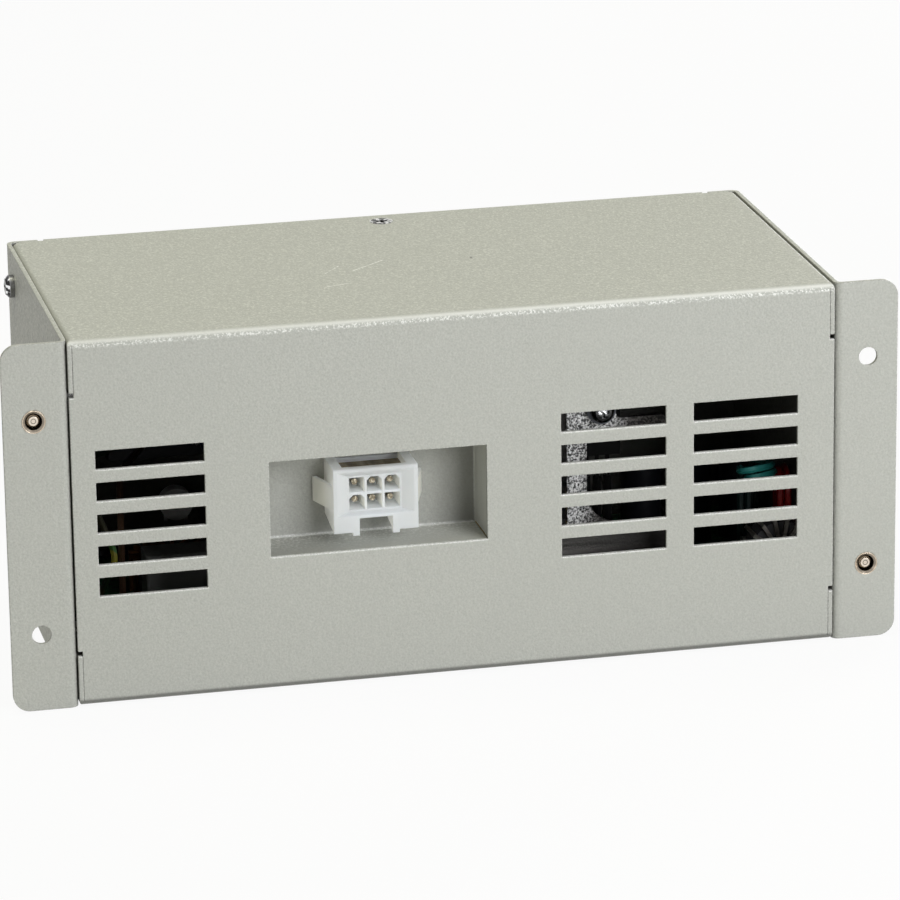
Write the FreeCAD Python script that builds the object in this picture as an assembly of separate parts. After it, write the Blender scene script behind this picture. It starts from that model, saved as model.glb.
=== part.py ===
import FreeCAD, Part
import math
import os

# Redundant power supply module: a folded steel box with side flanges, vents and a recessed connector.
# Millimetres. Origin at the middle of the underside, front face towards -Y, +Z up.

V = FreeCAD.Vector
ALONG_X = V(1, 0, 0)
ALONG_Y = V(0, 1, 0)
ALONG_Z = V(0, 0, 1)

# Box
height = 88.1
depth = 88.4
cover_width = 181.1
sheet = 1.0
bend_outer = 2.0
fold_outer = 1.2
side_gap = 0.12
slit = 0.1
return_height = 12.3
relief = 1.2
tongue_inset = 8.4
notch_width = 1.5
notch_depth = 2.6
rear_lip = 12.0
lip_fold_drop = 4.0

# Mounting flanges
flange_width = 14.3
flange_corner = 4.0
mount_hole = 4.5
mount_pitch = 51.3

# Vents and window in the front
slot_length = 25.3
slot_height = 4.55
slot_pitch = 7.66
slot_count = 5
vent_middles = (-72.4, 37.15, 69.1)
window_width = 51.5
window_height = 23.1
window_x = -19.05

# Pocket behind the window
pocket_depth = 14.5
pocket_ease = 0.3
pocket_sheet = 0.8
pocket_fold = 0.5
pocket_flange = 5.0
pocket_seam = 0.3

# Connector
face_width = 20.1
face_height = 15.6
face_setback = 3.5
face_drop = 0.65
face_edge = 0.6
belly_rise = 2.0
cavity = 3.6
cavity_pitch = 4.2
cavity_depth = 8.0
cavity_chamfer = 0.9
cavity_lift = 1.2
shroud_depth = 1.5
shroud_rim = 0.9
shroud_ledge = 0.5
channel_wall = 2.4
channel_rim = 1.7
channel_depth = 1.8
latch_gap = 7.9
latch_gap_height = 3.4
foot_width = 1.6
foot_drop = 0.8
foot_depth = 1.6
ear_height = 5.9
ear_reach = 3.0
ear_thickness = 1.0
ear_start = 0.8
ear_gap = 1.0
ear_lift = 0.6
neck_width = 16.8
neck_height = 12.2
neck_length = 9.0
neck_ease = 0.15
contact = 1.5
contact_setback = 2.6
contact_sides = 8

# Fasteners
screw = 3.0
screw_ease = 0.15
pan_head = 5.6
pan_head_height = 2.1
pan_head_edge = 0.9
flat_head = 5.6
recess_cross = 2.8
recess_cross_width = 0.75
recess_cross_depth = 1.2
side_screw_inset = 10.8
side_screw_drop = 8.1
side_screw_length = 6.0
cover_screw_inset = 5.5
cover_screw_length = 6.0
nut_flats = 5.5
nut_height = 2.4
screw_past_nut = 1.0

# Captive screws on the flanges
ferrule_nose = 5.5
ferrule_ease = 0.03
ferrule_bore = 4.0
ferrule_lip = 0.25
ferrule_edge = 0.12
ferrule_flare = 0.45
ferrule_shoulder = 6.6
ferrule_shoulder_height = 1.0
ferrule_sleeve = 4.9
ferrule_sleeve_length = 4.8
ferrule_rim_step = 0.5
ferrule_rim_height = 0.7
captive_tip_chamfer = 0.4
captive_setback = 0.6
captive_thread_length = 5.0
captive_neck = 2.4
captive_travel = 3.5
captive_slack = 0.3
knob_ease = 0.3
knob_lip = 0.7
knob_wall = 0.3
knob_web = 1.6
knob_flutes = 16
knob_flute_depth = 0.15
knob_rim = 1.0
knob_edge = 0.3
knob_slot_width = 1.0
knob_slot_depth = 0.9
spring_wire = 0.45
spring_coil = 5.1
spring_turns = 4
spring_sides = 4
spring_seat = 0.1

# Board
board_thickness = 1.6
standoff_height = 8.0
standoff_flats = 5.0
board_left_margin = 10.5
board_right_margin = 2.5
board_front_margin = 4.0
board_rear_margin = 13.0
board_hole_inset = 4.0

# Diode bracket near the front
bracket_thickness = 1.5
bracket_y = 4.6
bracket_x = -8.95
bracket_width = 23.8
bracket_height = 53.0
bracket_post = 4.8
bracket_foot = 2.2
bracket_base = 20.0
bracket_head = 10.6
bracket_head_width = 12.0
bracket_arm = 3.4
bracket_sweep = 8.0
bracket_round = 2.5
bracket_edge = 1.0
bracket_hole_x = 8.15
bracket_hole_drop = 4.5
pad = 6.4
pad_thickness = 0.5
washer = 7.0
washer_thickness = 0.8

# Flat-tab power packages
package_width = 10.2
package_height = 8.4
package_thickness = 4.5
tab_height = 15.6
tab_above_hole = 3.6
tab_thickness = 1.3
leg_width = 0.9
leg_thickness = 0.6
leg_pitch = 2.54
leg_length = 6.0
sleeve = 2.0
sleeve_sides = 6

# Wound parts
transformer_x = 18.0
transformer_room = 4.6
core_width = 30.0
core_height = 27.0
core_depth = 12.0
core_leg = 9.0
core_yoke = 5.0
core_side = 5.0
bobbin_wall = 0.7
bobbin_ease = 0.2
bobbin_flange = 0.9
winding_side = 4.4
winding_end = 6.0
winding_ease = 0.1
output_choke = 14.4
output_choke_bore = 7.4
output_choke_thickness = 6.0
output_choke_turns = 16
output_choke_place = (6.6, 11.0)
line_choke = 19.0
line_choke_bore = 10.0
line_choke_thickness = 7.0
line_choke_turns = 18
line_choke_place = (20.0, 43.0)
choke_wire = 0.9

# Capacitors and other parts on the board
bulk_x = -22.0
bulk_room = 3.2
bulk_diameter = 22.0
bulk_height = 25.5
output_can = 10.0
output_can_height = 20.0
output_can_pitch = 12.5
output_can_count = 3
output_can_place = (6.0, 12.0)
film_length = 18.0
film_width = 8.5
film_height = 15.0
film_round = 0.8
film_place = (19.5, 27.0)
bridge_x = -32.0
bridge_length = 20.0
bridge_width = 4.6
bridge_height = 15.0
bridge_notch = 3.0
disc = 8.0
disc_thickness = 3.6
disc_wire = 0.8
disc_wire_pitch = 5.0
thermistor_height = 16.5
thermistor_inset = 23.6
thermistor_behind = 4.9
fuse_tube = 4.6
fuse_cap = 5.2
fuse_cap_length = 5.0
fuse_length = 20.0
fuse_place = (24.0, 8.0)
clip_thickness = 0.5
clip_height = 6.4
clip_width = 4.0
clip_mouth = 0.75
sink_x = -5.0
sink_thickness = 2.0
sink_length = 26.0
sink_height = 25.0
sink_foot = 5.0
sink_fold = 0.3
chip_gap = 3.0
chip_inset = 3.0
chip_length = 10.0
chip_width = 6.4
chip_height = 3.6
chip_lift = 0.6
chip_leg = 0.6
chip_leg_height = 2.0
chip_legs = 4

# Mains inlet on the rear
inlet_inset = 32.55
inlet_lift = 3.0
inlet_flange_width = 50.0
inlet_flange_height = 24.0
inlet_flange_thickness = 3.0
inlet_flange_round = 5.0
inlet_body_width = 27.2
inlet_body_height = 19.6
inlet_body_depth = 21.0
inlet_cut_ease = 0.2
inlet_chamfer = 5.0
inlet_wall = 1.5
inlet_cavity_depth = 16.5
inlet_screw_pitch = 40.0
blade_width = 4.0
blade_thickness = 2.0
blade_length = 12.0
blade_pitch = 14.0
blade_earth_lift = 4.0
tab_blade_width = 6.3
tab_blade_thickness = 0.8
tab_blade_length = 7.5
press_ease = 0.02

# Earth stud and leads
stud = 4.0
stud_length = 9.0
stud_base = 6.4
stud_base_height = 0.8
stud_inset = 5.6
stud_back = 50.0
stud_nut_flats = 7.0
stud_nut_height = 3.2
ring_outer = 8.0
ring_thickness = 0.8
barrel = 3.2
barrel_length = 6.0
barrel_overlap = 0.5
lead = 1.7
lead_sides = 6
lead_bend = 5.0
lead_step = 1.9
lead_straight = 6.0
line_foot = (5.0, 25.0)
line_rise = 23.0
line_lean = (2.0, 12.0, 32.0)
neutral_foot = (31.0, 35.0)
neutral_rise = 22.0
neutral_lean = (-1.5, 8.0, 32.0)
earth_turns = ((0, -4.5, 0), (8.5, -12.5, 22.6), (1, -0.5, 43))
harness_back = 6.0
harness_lift = 1.0
black_end = 32.0
teal_rise = (9.5, 26.6)
teal_turns = ((7.6, 8.0, 30.0), (18.0, 4.4, 30.0), (13.5, 19.0, 26.6))
red_rise = (3.0, 24.6)
red_drop = (4.2, 16.6)

# How far a cutting shape reaches past the face it cuts
cutter = 1.0

# Places worked out from the sizes
front = -depth / 2
rear = depth / 2
middle = height / 2
cover_half = cover_width / 2
skin_half = cover_half - sheet - slit
side_inner = cover_half + side_gap
side_outer = side_inner + sheet
flange_outer = side_outer + flange_width
mount_x = (side_outer + flange_outer) / 2
mount_high = middle + mount_pitch / 2
mount_low = middle - mount_pitch / 2
rear_inner = rear - sheet
top_stop = rear_inner - side_gap
tongue_half = side_outer - tongue_inset - notch_width / 2
window_low = middle - window_height / 2
window_high = middle + window_height / 2
pocket_left = window_x - window_width / 2 - pocket_ease
pocket_right = window_x + window_width / 2 + pocket_ease
pocket_low = window_low - pocket_ease
pocket_high = window_high + pocket_ease
pocket_mouth = front + sheet
pocket_back = front + pocket_depth
connector_z = middle - face_drop
connector_face = front + face_setback
connector_low = connector_z - face_height / 2
connector_high = connector_z + face_height / 2
neck_z = connector_z + belly_rise / 2
neck_end = pocket_back + neck_length
board_under = sheet + standoff_height
board_top = board_under + board_thickness
board_left = -cover_half + board_left_margin
board_right = cover_half - board_right_margin
board_front = front + sheet + board_front_margin
board_rear = rear_inner - board_rear_margin
board_middle = (board_front + board_rear) / 2
bracket_left = vent_middles[1] + bracket_x
bracket_front = board_front + bracket_y
bracket_rear = bracket_front + bracket_thickness
bracket_top = board_top + bracket_height
bracket_screw_x = bracket_left + bracket_hole_x
bracket_screw_z = bracket_top - bracket_hole_drop
harness_y = neck_end + harness_back
harness_rear = harness_y + lead_step + lead / 2
bulk_y = harness_rear + bulk_room + bulk_diameter / 2
bobbin_half = core_depth / 2 + bobbin_ease + 2 * bobbin_wall + winding_end
transformer_y = harness_rear + transformer_room + bobbin_half
chip_x = transformer_x + core_width / 2 + chip_gap + chip_width / 2
chip_y = board_rear - chip_inset - chip_length / 2
choke_lift = choke_wire + 2 * winding_ease
line_choke_y = board_front + line_choke_place[1]
thermistor_x = board_left + thermistor_inset
thermistor_y = line_choke_y + line_choke / 2 + thermistor_behind
fuse_x = board_left + fuse_place[0]
fuse_y = board_front + fuse_place[1]
fuse_z = board_top + clip_height - fuse_cap / 2 - clip_thickness
inlet_x = -cover_half + inlet_inset
inlet_z = middle + inlet_lift
inlet_face = rear + inlet_flange_thickness
tab_end = rear - inlet_body_depth - tab_blade_length
stud_x = -cover_half + stud_inset
stud_y = front + stud_back
ring_base = sheet + stud_base_height
barrel_z = ring_base + barrel / 2
barrel_front = stud_y - ring_outer / 2 + barrel_overlap - barrel_length


def block(xs, ys, zs):
    """Box between two limits on each axis."""
    size = [high - low for low, high in (xs, ys, zs)]
    return Part.makeBox(size[0], size[1], size[2], V(xs[0], ys[0], zs[0]))


def about(centre, size):
    """Limits of a stretch about its centre."""
    return (centre - size / 2, centre + size / 2)


def up(base, size):
    """Limits of a stretch that starts at a base."""
    return (base, base + size)


def rounded_wire(points, radii):
    """Closed flat wire through corner points, each corner rounded by its own radius."""
    ends = []
    for i, corner in enumerate(points):
        to_last = (points[i - 1] - corner).normalize()
        to_next = (points[(i + 1) % len(points)] - corner).normalize()
        if radii[i] <= 0:
            ends.append((corner, None, corner))
            continue
        half = to_last.getAngle(to_next) / 2
        bisector = (to_last + to_next).normalize()
        reach = radii[i] / math.tan(half)
        crown = corner + bisector * (radii[i] / math.sin(half) - radii[i])
        ends.append((corner + to_last * reach, crown, corner + to_next * reach))
    edges = []
    for i, (start, crown, end) in enumerate(ends):
        if crown is not None:
            edges.append(Part.Arc(start, crown, end).toShape())
        following = ends[(i + 1) % len(ends)][0]
        if end.distanceToPoint(following) > 1e-6:
            edges.append(Part.LineSegment(end, following).toShape())
    return Part.Wire(edges)


def prism(points, radii, run):
    """Solid pushed out from a rounded outline."""
    return Part.Face(rounded_wire(points, radii)).extrude(run)


def sharp_prism(points, run):
    """Solid pushed out from an outline with plain corners."""
    return Part.Face(Part.makePolygon(points + points[:1])).extrude(run)


def turned(profile, x, z):
    """Solid of revolution about a line along Y, from (radius, y) points."""
    points = [V(x + radius, y, z) for radius, y in profile]
    face = Part.Face(Part.makePolygon(points + points[:1]))
    return face.revolve(V(x, 0, z), ALONG_Y, 360)


def upright(profile, x, y):
    """Solid of revolution about a vertical line, from (radius, z) points."""
    points = [V(x + radius, y, z) for radius, z in profile]
    face = Part.Face(Part.makePolygon(points + points[:1]))
    return face.revolve(V(x, y, 0), ALONG_Z, 360)


def rod(radius, length, start, way):
    """Round bar from a start point."""
    return Part.makeCylinder(radius, length, start, way)


def polygon(centre, way, radius, sides):
    """Corners of a regular polygon round a line along one of the axes."""
    side_a = V(way.y, way.z, way.x)
    side_b = way.cross(side_a)
    corners = []
    for i in range(sides):
        turn = 2 * math.pi * i / sides
        corners.append(centre + side_a * (radius * math.cos(turn)) + side_b * (radius * math.sin(turn)))
    return corners


def hexagon(flats, thickness, centre, way):
    """Hexagonal bar across the given flats, from a centre point along an axis."""
    return sharp_prism(polygon(centre, way, flats / math.sqrt(3), 6), way * thickness)


def hex_nut(flats, bore, thickness, centre, way):
    """Plain nut from a centre point along an axis."""
    return hexagon(flats, thickness, centre, way).cut(rod(bore / 2, thickness, centre, way))


def joined(shapes):
    """One solid from pieces of the same sheet or moulding."""
    return shapes[0].multiFuse(shapes[1:]).removeSplitter()


def mirrored(shape):
    """Copy on the other side of the middle plane."""
    return shape.mirror(V(0, 0, 0), ALONG_X)


def inverted(shape):
    """Copy on the other side of mid-height."""
    return shape.mirror(V(0, 0, middle), ALONG_Z)


def four_ways(shape):
    """The shape and its copies left, right, above and below."""
    pair = [shape, mirrored(shape)]
    return pair + [inverted(one) for one in pair]


def cross_recess(top):
    """Cross-shaped drive recess, cut downwards from a height on the Z axis."""
    low = top - recess_cross_depth
    long_bar = block(about(0, recess_cross), about(0, recess_cross_width), (low, top + cutter))
    cross_bar = block(about(0, recess_cross_width), about(0, recess_cross), (low, top + cutter))
    return long_bar.fuse(cross_bar)


def pan_screw(length):
    """Pan-head screw on the Z axis, its head standing on z = 0."""
    half = pan_head / 2
    top = pan_head_height
    profile = [(0, top), (half - pan_head_edge, top), (half, top - pan_head_edge), (half, 0), (screw / 2, 0),
               (screw / 2, -length), (0, -length)]
    return upright(profile, 0, 0).cut(cross_recess(top))


def flat_screw(length, ease):
    """Countersunk screw on the Z axis, its top at z = 0; ease widens it to make its hole."""
    head = flat_head / 2 + ease
    shank = screw / 2 + ease
    return upright([(0, 0), (head, 0), (shank, shank - head), (shank, -length), (0, -length)], 0, 0)


def save(name, shapes):
    """Write one piece, or one group of like pieces, to its own file."""
    if isinstance(shapes, list):
        shapes = Part.Compound(shapes)
    shapes.exportStep("parts/" + name + ".step")


def cover():
    """One folded sheet: front, top and bottom, with short side returns."""
    inner_bend = bend_outer - sheet
    outline = [V(-skin_half, y, z) for y, z in (
        (top_stop, height), (front, height), (front, 0), (top_stop, 0),
        (top_stop, sheet), (front + sheet, sheet), (front + sheet, height - sheet),
        (top_stop, height - sheet))]
    radii = [0, bend_outer, bend_outer, 0, 0, inner_bend, inner_bend, 0]
    wrap = prism(outline, radii, V(2 * skin_half, 0, 0))

    inner_fold = fold_outer - sheet
    inner_half = cover_half - sheet
    return_end = height - return_height
    outline = [V(x, front, z) for x, z in (
        (-cover_half, return_end), (-cover_half, height), (cover_half, height), (cover_half, return_end),
        (inner_half, return_end), (inner_half, height - sheet), (-inner_half, height - sheet),
        (-inner_half, return_end))]
    radii = [0, fold_outer, fold_outer, 0, 0, inner_fold, inner_fold, 0]
    roof = prism(outline, radii, V(0, top_stop - front, 0))
    outline = [V(-cover_half, y, z) for y, z in (
        (top_stop, height), (front, height), (front, 0), (top_stop, 0))]
    roof = roof.common(prism(outline, [0, bend_outer, bend_outer, 0], V(cover_width, 0, 0)))

    edge_low = return_height + relief
    wing = block((skin_half, cover_half), up(front, sheet), (edge_low, height - edge_low))
    tongue = block((-tongue_half, tongue_half), (top_stop - sheet, rear), (height - sheet, height))
    body = joined([wrap, roof, inverted(roof), wing, mirrored(wing), tongue, inverted(tongue)])
    return body.cut(cover_cuts())


def cover_cuts():
    """Vent slots, the window, the rear corners and the screw holes of the cover."""
    through = (front - cutter, front + sheet + cutter)
    cuts = []
    for group in vent_middles:
        for i in range(slot_count):
            z = middle + (i - (slot_count - 1) / 2) * slot_pitch
            cuts.append(block(about(group, slot_length), through, about(z, slot_height)))
    cuts.append(block(about(window_x, window_width), through, (window_low, window_high)))
    corner = sharp_prism([V(cover_half - bend_outer, top_stop, 0), V(cover_half, top_stop, 0),
                          V(cover_half, top_stop - bend_outer, 0)], V(0, 0, height))
    cuts += [corner, mirrored(corner)]
    cuts += side_holes()
    cuts += cover_screw_solids(screw_ease)
    return cuts[0].multiFuse(cuts[1:])


def side_holes():
    """Cutters for the screws through the sides and the cover's returns."""
    start = V(cover_half - sheet - cutter, rear - side_screw_inset, height - side_screw_drop)
    return four_ways(rod(screw / 2 + screw_ease, side_outer - start.x + cutter, start, ALONG_X))


def cover_screw_solids(ease):
    """Countersunk screws in the top and the bottom near the rear edge, or their holes."""
    one = flat_screw(cover_screw_length, ease)
    one.translate(V(0, rear - cover_screw_inset, height))
    return [one, inverted(one)]


def cover_screws():
    """The countersunk screws in the top and the bottom."""
    one = flat_screw(cover_screw_length, 0).cut(cross_recess(0))
    one.translate(V(0, rear - cover_screw_inset, height))
    return [one, inverted(one)]


def chassis():
    """One folded sheet: rear panel, two sides and two outward flanges at the front."""
    inner_bend = bend_outer - sheet
    half = [(flange_outer, front), (side_inner, front), (side_inner, rear_inner)]
    outer = [(side_outer, rear), (side_outer, front + sheet), (flange_outer, front + sheet)]
    ring = half + [(-x, y) for x, y in reversed(half)]
    ring += [(-x, y) for x, y in reversed(outer)] + outer
    half_radii = [0, bend_outer, inner_bend]
    outer_radii = [bend_outer, inner_bend, 0]
    radii = half_radii + half_radii[::-1] + outer_radii[::-1] + outer_radii
    body = prism([V(x, y, 0) for x, y in ring], radii, V(0, 0, height))
    body = body.cut(chassis_cuts())

    lip_start = rear - rear_lip
    lip_top = height - sheet
    lip_low = lip_top - lip_fold_drop
    outline = [V(-tongue_half, y, z) for y, z in (
        (lip_start, lip_top), (rear, lip_top), (rear, lip_low), (rear_inner, lip_low),
        (rear_inner, lip_top - sheet), (lip_start, lip_top - sheet))]
    lip = prism(outline, [0, fold_outer, 0, 0, fold_outer - sheet, 0], V(2 * tongue_half, 0, 0))
    body = joined([body, lip, inverted(lip)])
    return body.cut(cover_screw_solids(screw_ease))


def chassis_cuts():
    """Flange corners, mounting holes, rear notches and the openings for screws and inlet."""
    thick = sheet + 2 * cutter
    cuts = []
    for x_way in (1, -1):
        outline = []
        for x, z in ((side_outer, 0), (flange_outer, 0), (flange_outer, height), (side_outer, height)):
            outline.append(V(x_way * x, front - cutter, z))
        plate = prism(outline, [0, flange_corner, flange_corner, 0], V(0, thick, 0))
        xs = sorted((x_way * side_outer, x_way * (flange_outer + cutter)))
        around = block(xs, up(front - cutter, thick), (-cutter, height + cutter))
        cuts.append(around.cut(plate))
    ferrule_hole = ferrule_nose + 2 * ferrule_ease
    for x, z, size in ((-mount_x, mount_low, mount_hole), (mount_x, mount_high, mount_hole),
                       (-mount_x, mount_high, ferrule_hole), (mount_x, mount_low, ferrule_hole)):
        cuts.append(rod(size / 2, thick, V(x, front - cutter, z), ALONG_Y))
    edge_half = tongue_half + notch_width
    edge = block((-edge_half, edge_half), (rear_inner - bend_outer, rear + cutter),
                 (height - notch_depth, height + cutter))
    cuts += [edge, inverted(edge)]
    cuts += side_holes()
    cuts.append(inlet_outline(inlet_cut_ease, rear_inner - cutter, thick))
    for x in inlet_screw_places():
        cuts.append(rod(screw / 2 + screw_ease, thick, V(x, rear_inner - cutter, inlet_z), ALONG_Y))
    return cuts[0].multiFuse(cuts[1:])


def side_screws():
    """Pan-head screws through the sides into the cover's returns."""
    one = pan_screw(side_screw_length)
    one.rotate(V(0, 0, 0), ALONG_Y, 90)
    one.translate(V(side_outer, rear - side_screw_inset, height - side_screw_drop))
    return four_ways(one)


def pocket():
    """Folded tray welded behind the window; its ends are tabs folded from the back."""
    wall = pocket_sheet
    inner = pocket_fold
    outer = inner + wall
    front_side = pocket_mouth + wall
    back_side = pocket_back + wall
    foot = pocket_low - pocket_flange
    crest = pocket_high + pocket_flange
    shape = ((pocket_mouth, foot), (pocket_mouth, pocket_low), (pocket_back, pocket_low),
             (pocket_back, pocket_high), (pocket_mouth, pocket_high), (pocket_mouth, crest),
             (front_side, crest), (front_side, pocket_high + wall), (back_side, pocket_high + wall),
             (back_side, pocket_low - wall), (front_side, pocket_low - wall), (front_side, foot))
    radii = [0, outer, inner, inner, outer, 0, 0, inner, outer, outer, inner, 0]
    outline = [V(pocket_left, y, z) for y, z in shape]
    tray = prism(outline, radii, V(pocket_right - pocket_left, 0, 0))

    tab_low = pocket_low + pocket_seam
    tab_rise = pocket_high - pocket_low - 2 * pocket_seam
    tabs = []
    for x, out in ((pocket_right, 1), (pocket_left, -1)):
        hook = ((-outer, pocket_back), (0, pocket_back), (0, pocket_mouth), (pocket_flange, pocket_mouth),
                (pocket_flange, front_side), (wall, front_side), (wall, back_side), (-outer, back_side))
        outline = [V(x + out * along, y, tab_low) for along, y in hook]
        tabs.append(prism(outline, [0, inner, outer, 0, 0, inner, outer, 0], V(0, 0, tab_rise)))
    body = joined([tray] + tabs)
    hole = block(about(window_x, neck_width + 2 * neck_ease), (pocket_back - cutter, back_side + cutter),
                 about(neck_z, neck_height + 2 * neck_ease))
    return body.cut(hole)


def cavity_places():
    """Middle of each connector cavity, and whether its top corners are chamfered."""
    keyed = ((True, False, False), (False, True, True))
    places = []
    for row, flags in enumerate(keyed):
        for column, flag in enumerate(flags):
            place = contact_place(column, row)
            places.append((place.x, place.z, flag))
    return places


def contact_place(column, row):
    """Axis of a contact where it leaves the connector; row 0 is the lower one."""
    x = window_x + (column - 1) * cavity_pitch
    z = connector_z + cavity_lift + (row - 1 / 2) * cavity_pitch
    return V(x, neck_end, z)


def connector_housing():
    """Six-way nylon housing with a shroud, spring ears, latch gap and a neck through the pocket's back."""
    left = window_x - face_width / 2
    shape = [V(left, y, z) for y, z in (
        (connector_face, connector_low), (pocket_back, connector_low + belly_rise),
        (pocket_back, connector_high), (connector_face, connector_high))]
    head = prism(shape, [0, 0, 0, face_edge], V(face_width, 0, 0))
    neck = block(about(window_x, neck_width), (pocket_back, neck_end), about(neck_z, neck_height))
    pieces = [head, neck]
    for out in (1, -1):
        pieces.append(connector_ear(out))
        edge = window_x + out * latch_gap / 2
        xs = sorted((edge, edge + out * foot_width))
        pieces.append(block(xs, up(connector_face, foot_depth), about(connector_low, 2 * foot_drop)))
    return joined(pieces).cut(connector_cuts())


def connector_ear(out):
    """Springy arm at one side, open behind, its free end short of the pocket's back."""
    side = window_x + out * face_width / 2
    start = connector_face + ear_start
    end = pocket_back - ear_gap
    meet = start + (end - start) * ear_thickness / ear_reach
    plan = [V(side - out * ear_thickness, start, 0), V(side, start, 0), V(side + out * ear_reach, end, 0),
            V(side + out * (ear_reach - ear_thickness), end, 0), V(side, meet, 0),
            V(side - out * ear_thickness, meet, 0)]
    ear = sharp_prism(plan, V(0, 0, ear_height))
    ear.translate(V(0, 0, connector_z + ear_lift - ear_height / 2))
    return ear


def connector_cuts():
    """Latch gap, channel on top, tapered shroud, cavities and contact bores of the connector."""
    gap = block(about(window_x, latch_gap), (connector_face - cutter, pocket_back),
                (connector_low - foot_drop - cutter, connector_low + latch_gap_height))
    channel = block(about(window_x, face_width - 2 * channel_wall),
                    (connector_face + channel_rim, pocket_back),
                    (connector_high - channel_depth, connector_high + cutter))
    floor_x = cavity_pitch + cavity / 2 + shroud_ledge
    floor_z = cavity_pitch / 2 + cavity / 2 + shroud_ledge
    centre_z = connector_z + cavity_lift
    mouth_x = face_width / 2 - shroud_rim
    mouth_low = centre_z - floor_z - shroud_ledge
    mouth_high = connector_high - shroud_rim
    floor = connector_face + shroud_depth
    rings = []
    for y, half, low, high in ((connector_face, mouth_x, mouth_low, mouth_high),
                               (floor, floor_x, centre_z - floor_z, centre_z + floor_z)):
        corners = [V(window_x + i * half, y, z) for i, z in ((-1, low), (1, low), (1, high), (-1, high))]
        rings.append(Part.makePolygon(corners + corners[:1]))
    cuts = [gap, channel, Part.makeLoft(rings, True, True)]
    for x, z, keyed in cavity_places():
        half = cavity / 2
        corners = [V(x - half, connector_face, z - half), V(x + half, connector_face, z - half)]
        cut = half - cavity_chamfer if keyed else half
        corners += [V(x + half, connector_face, z + cut), V(x - half, connector_face, z + cut)]
        if keyed:
            corners[3:3] = [V(x + cut, connector_face, z + half), V(x - cut, connector_face, z + half)]
        cuts.append(sharp_prism(corners, V(0, shroud_depth + cavity_depth, 0)))
        bore = polygon(V(x, connector_face, z), ALONG_Y, contact / 2 + press_ease, contact_sides)
        cuts.append(sharp_prism(bore, V(0, neck_end - connector_face, 0)))
    return cuts


def connector_contacts():
    """Brass contacts, from the cavities to the leads behind."""
    start = connector_face + shroud_depth + contact_setback
    contacts = []
    for x, z, keyed in cavity_places():
        corners = polygon(V(x, start, z), ALONG_Y, contact / 2, contact_sides)
        contacts.append(sharp_prism(corners, V(0, neck_end - start, 0)))
    return contacts


def captive_places():
    """Side name and axis of each captive screw."""
    return (("left", -mount_x, mount_high), ("right", mount_x, mount_low))


def captive_stations():
    """Places along Y that the ferrule, spring and knob share."""
    shoulder = front + sheet + ferrule_shoulder_height
    rim = shoulder + ferrule_sleeve_length
    end = rim + ferrule_rim_height
    web = end + captive_travel + (spring_turns + 1) * spring_wire
    return shoulder, rim, end, web


def ferrule(x, z):
    """Swaged sleeve with a flared nose that holds a captive screw in its flange."""
    shoulder, rim, end, web = captive_stations()
    nose = front - ferrule_lip
    bore = ferrule_bore / 2
    barrel_radius = ferrule_nose / 2
    sleeve_radius = ferrule_sleeve / 2
    rim_radius = sleeve_radius + ferrule_rim_step
    profile = [(bore, nose + ferrule_flare), (barrel_radius - ferrule_edge, nose),
               (barrel_radius, nose + ferrule_edge), (barrel_radius, front + sheet),
               (ferrule_shoulder / 2, front + sheet), (ferrule_shoulder / 2, shoulder),
               (sleeve_radius, shoulder), (sleeve_radius, rim), (rim_radius, rim), (rim_radius, end),
               (bore, end)]
    return turned(profile, x, z)


def captive_screw(x, z):
    """Screw with a fluted knob whose skirt is trapped behind the ferrule's rim."""
    shoulder, rim, end, web = captive_stations()
    tip = front + captive_setback
    neck = tip + captive_thread_length
    lip_end = rim - captive_slack
    lip_start = lip_end - knob_lip
    back = web + knob_web
    lip = ferrule_sleeve / 2 + knob_ease
    skirt = lip + ferrule_rim_step
    outside = skirt + knob_wall
    core = outside - knob_flute_depth
    profile = [(0, tip), (screw / 2 - captive_tip_chamfer, tip), (screw / 2, tip + captive_tip_chamfer),
               (screw / 2, neck), (captive_neck / 2, neck), (captive_neck / 2, web), (skirt, web),
               (skirt, lip_end), (lip, lip_end), (lip, lip_start), (outside, lip_start),
               (outside, lip_start + knob_rim),
               (core, lip_start + knob_rim), (core, back - knob_rim), (outside, back - knob_rim),
               (outside, back - knob_edge), (outside - knob_edge, back), (0, back)]
    stem = turned(profile, x, z)
    points = []
    for i in range(2 * knob_flutes):
        radius = outside + knob_flute_depth * (i % 2)
        turn = math.pi * i / knob_flutes
        points.append(V(x + radius * math.cos(turn), lip_start + knob_rim, z + radius * math.sin(turn)))
    band = sharp_prism(points, V(0, back - lip_start - 2 * knob_rim, 0))
    band = band.cut(rod(core - press_ease, back - lip_start, V(x, lip_start, z), ALONG_Y))
    slot = block(about(x, 2 * outside), (back - knob_slot_depth, back + cutter), about(z, knob_slot_width))
    return joined([stem, band]).cut(slot)


def captive_spring(x, z):
    """Coil spring between the ferrule's rear face and the knob's web."""
    shoulder, rim, end, web = captive_stations()
    start = end + spring_wire / 2 + spring_seat
    length = web - spring_seat - spring_wire / 2 - start
    radius = (spring_coil - spring_wire) / 2
    helix = Part.makeHelix(length / spring_turns, length, radius)
    corners = polygon(V(radius, 0, 0), ALONG_Y, spring_wire / 2, spring_sides)
    coil = Part.Wire(helix).makePipeShell([Part.makePolygon(corners + corners[:1])], True, True)
    coil.rotate(V(0, 0, 0), ALONG_X, -90)
    coil.translate(V(x, start, z))
    return coil


def board_hole_places():
    """Where the board is screwed to its standoffs."""
    xs = (board_left + board_hole_inset, board_right - board_hole_inset)
    ys = (board_front + board_hole_inset, board_rear - board_hole_inset)
    return [(x, y) for x in xs for y in ys]


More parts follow.
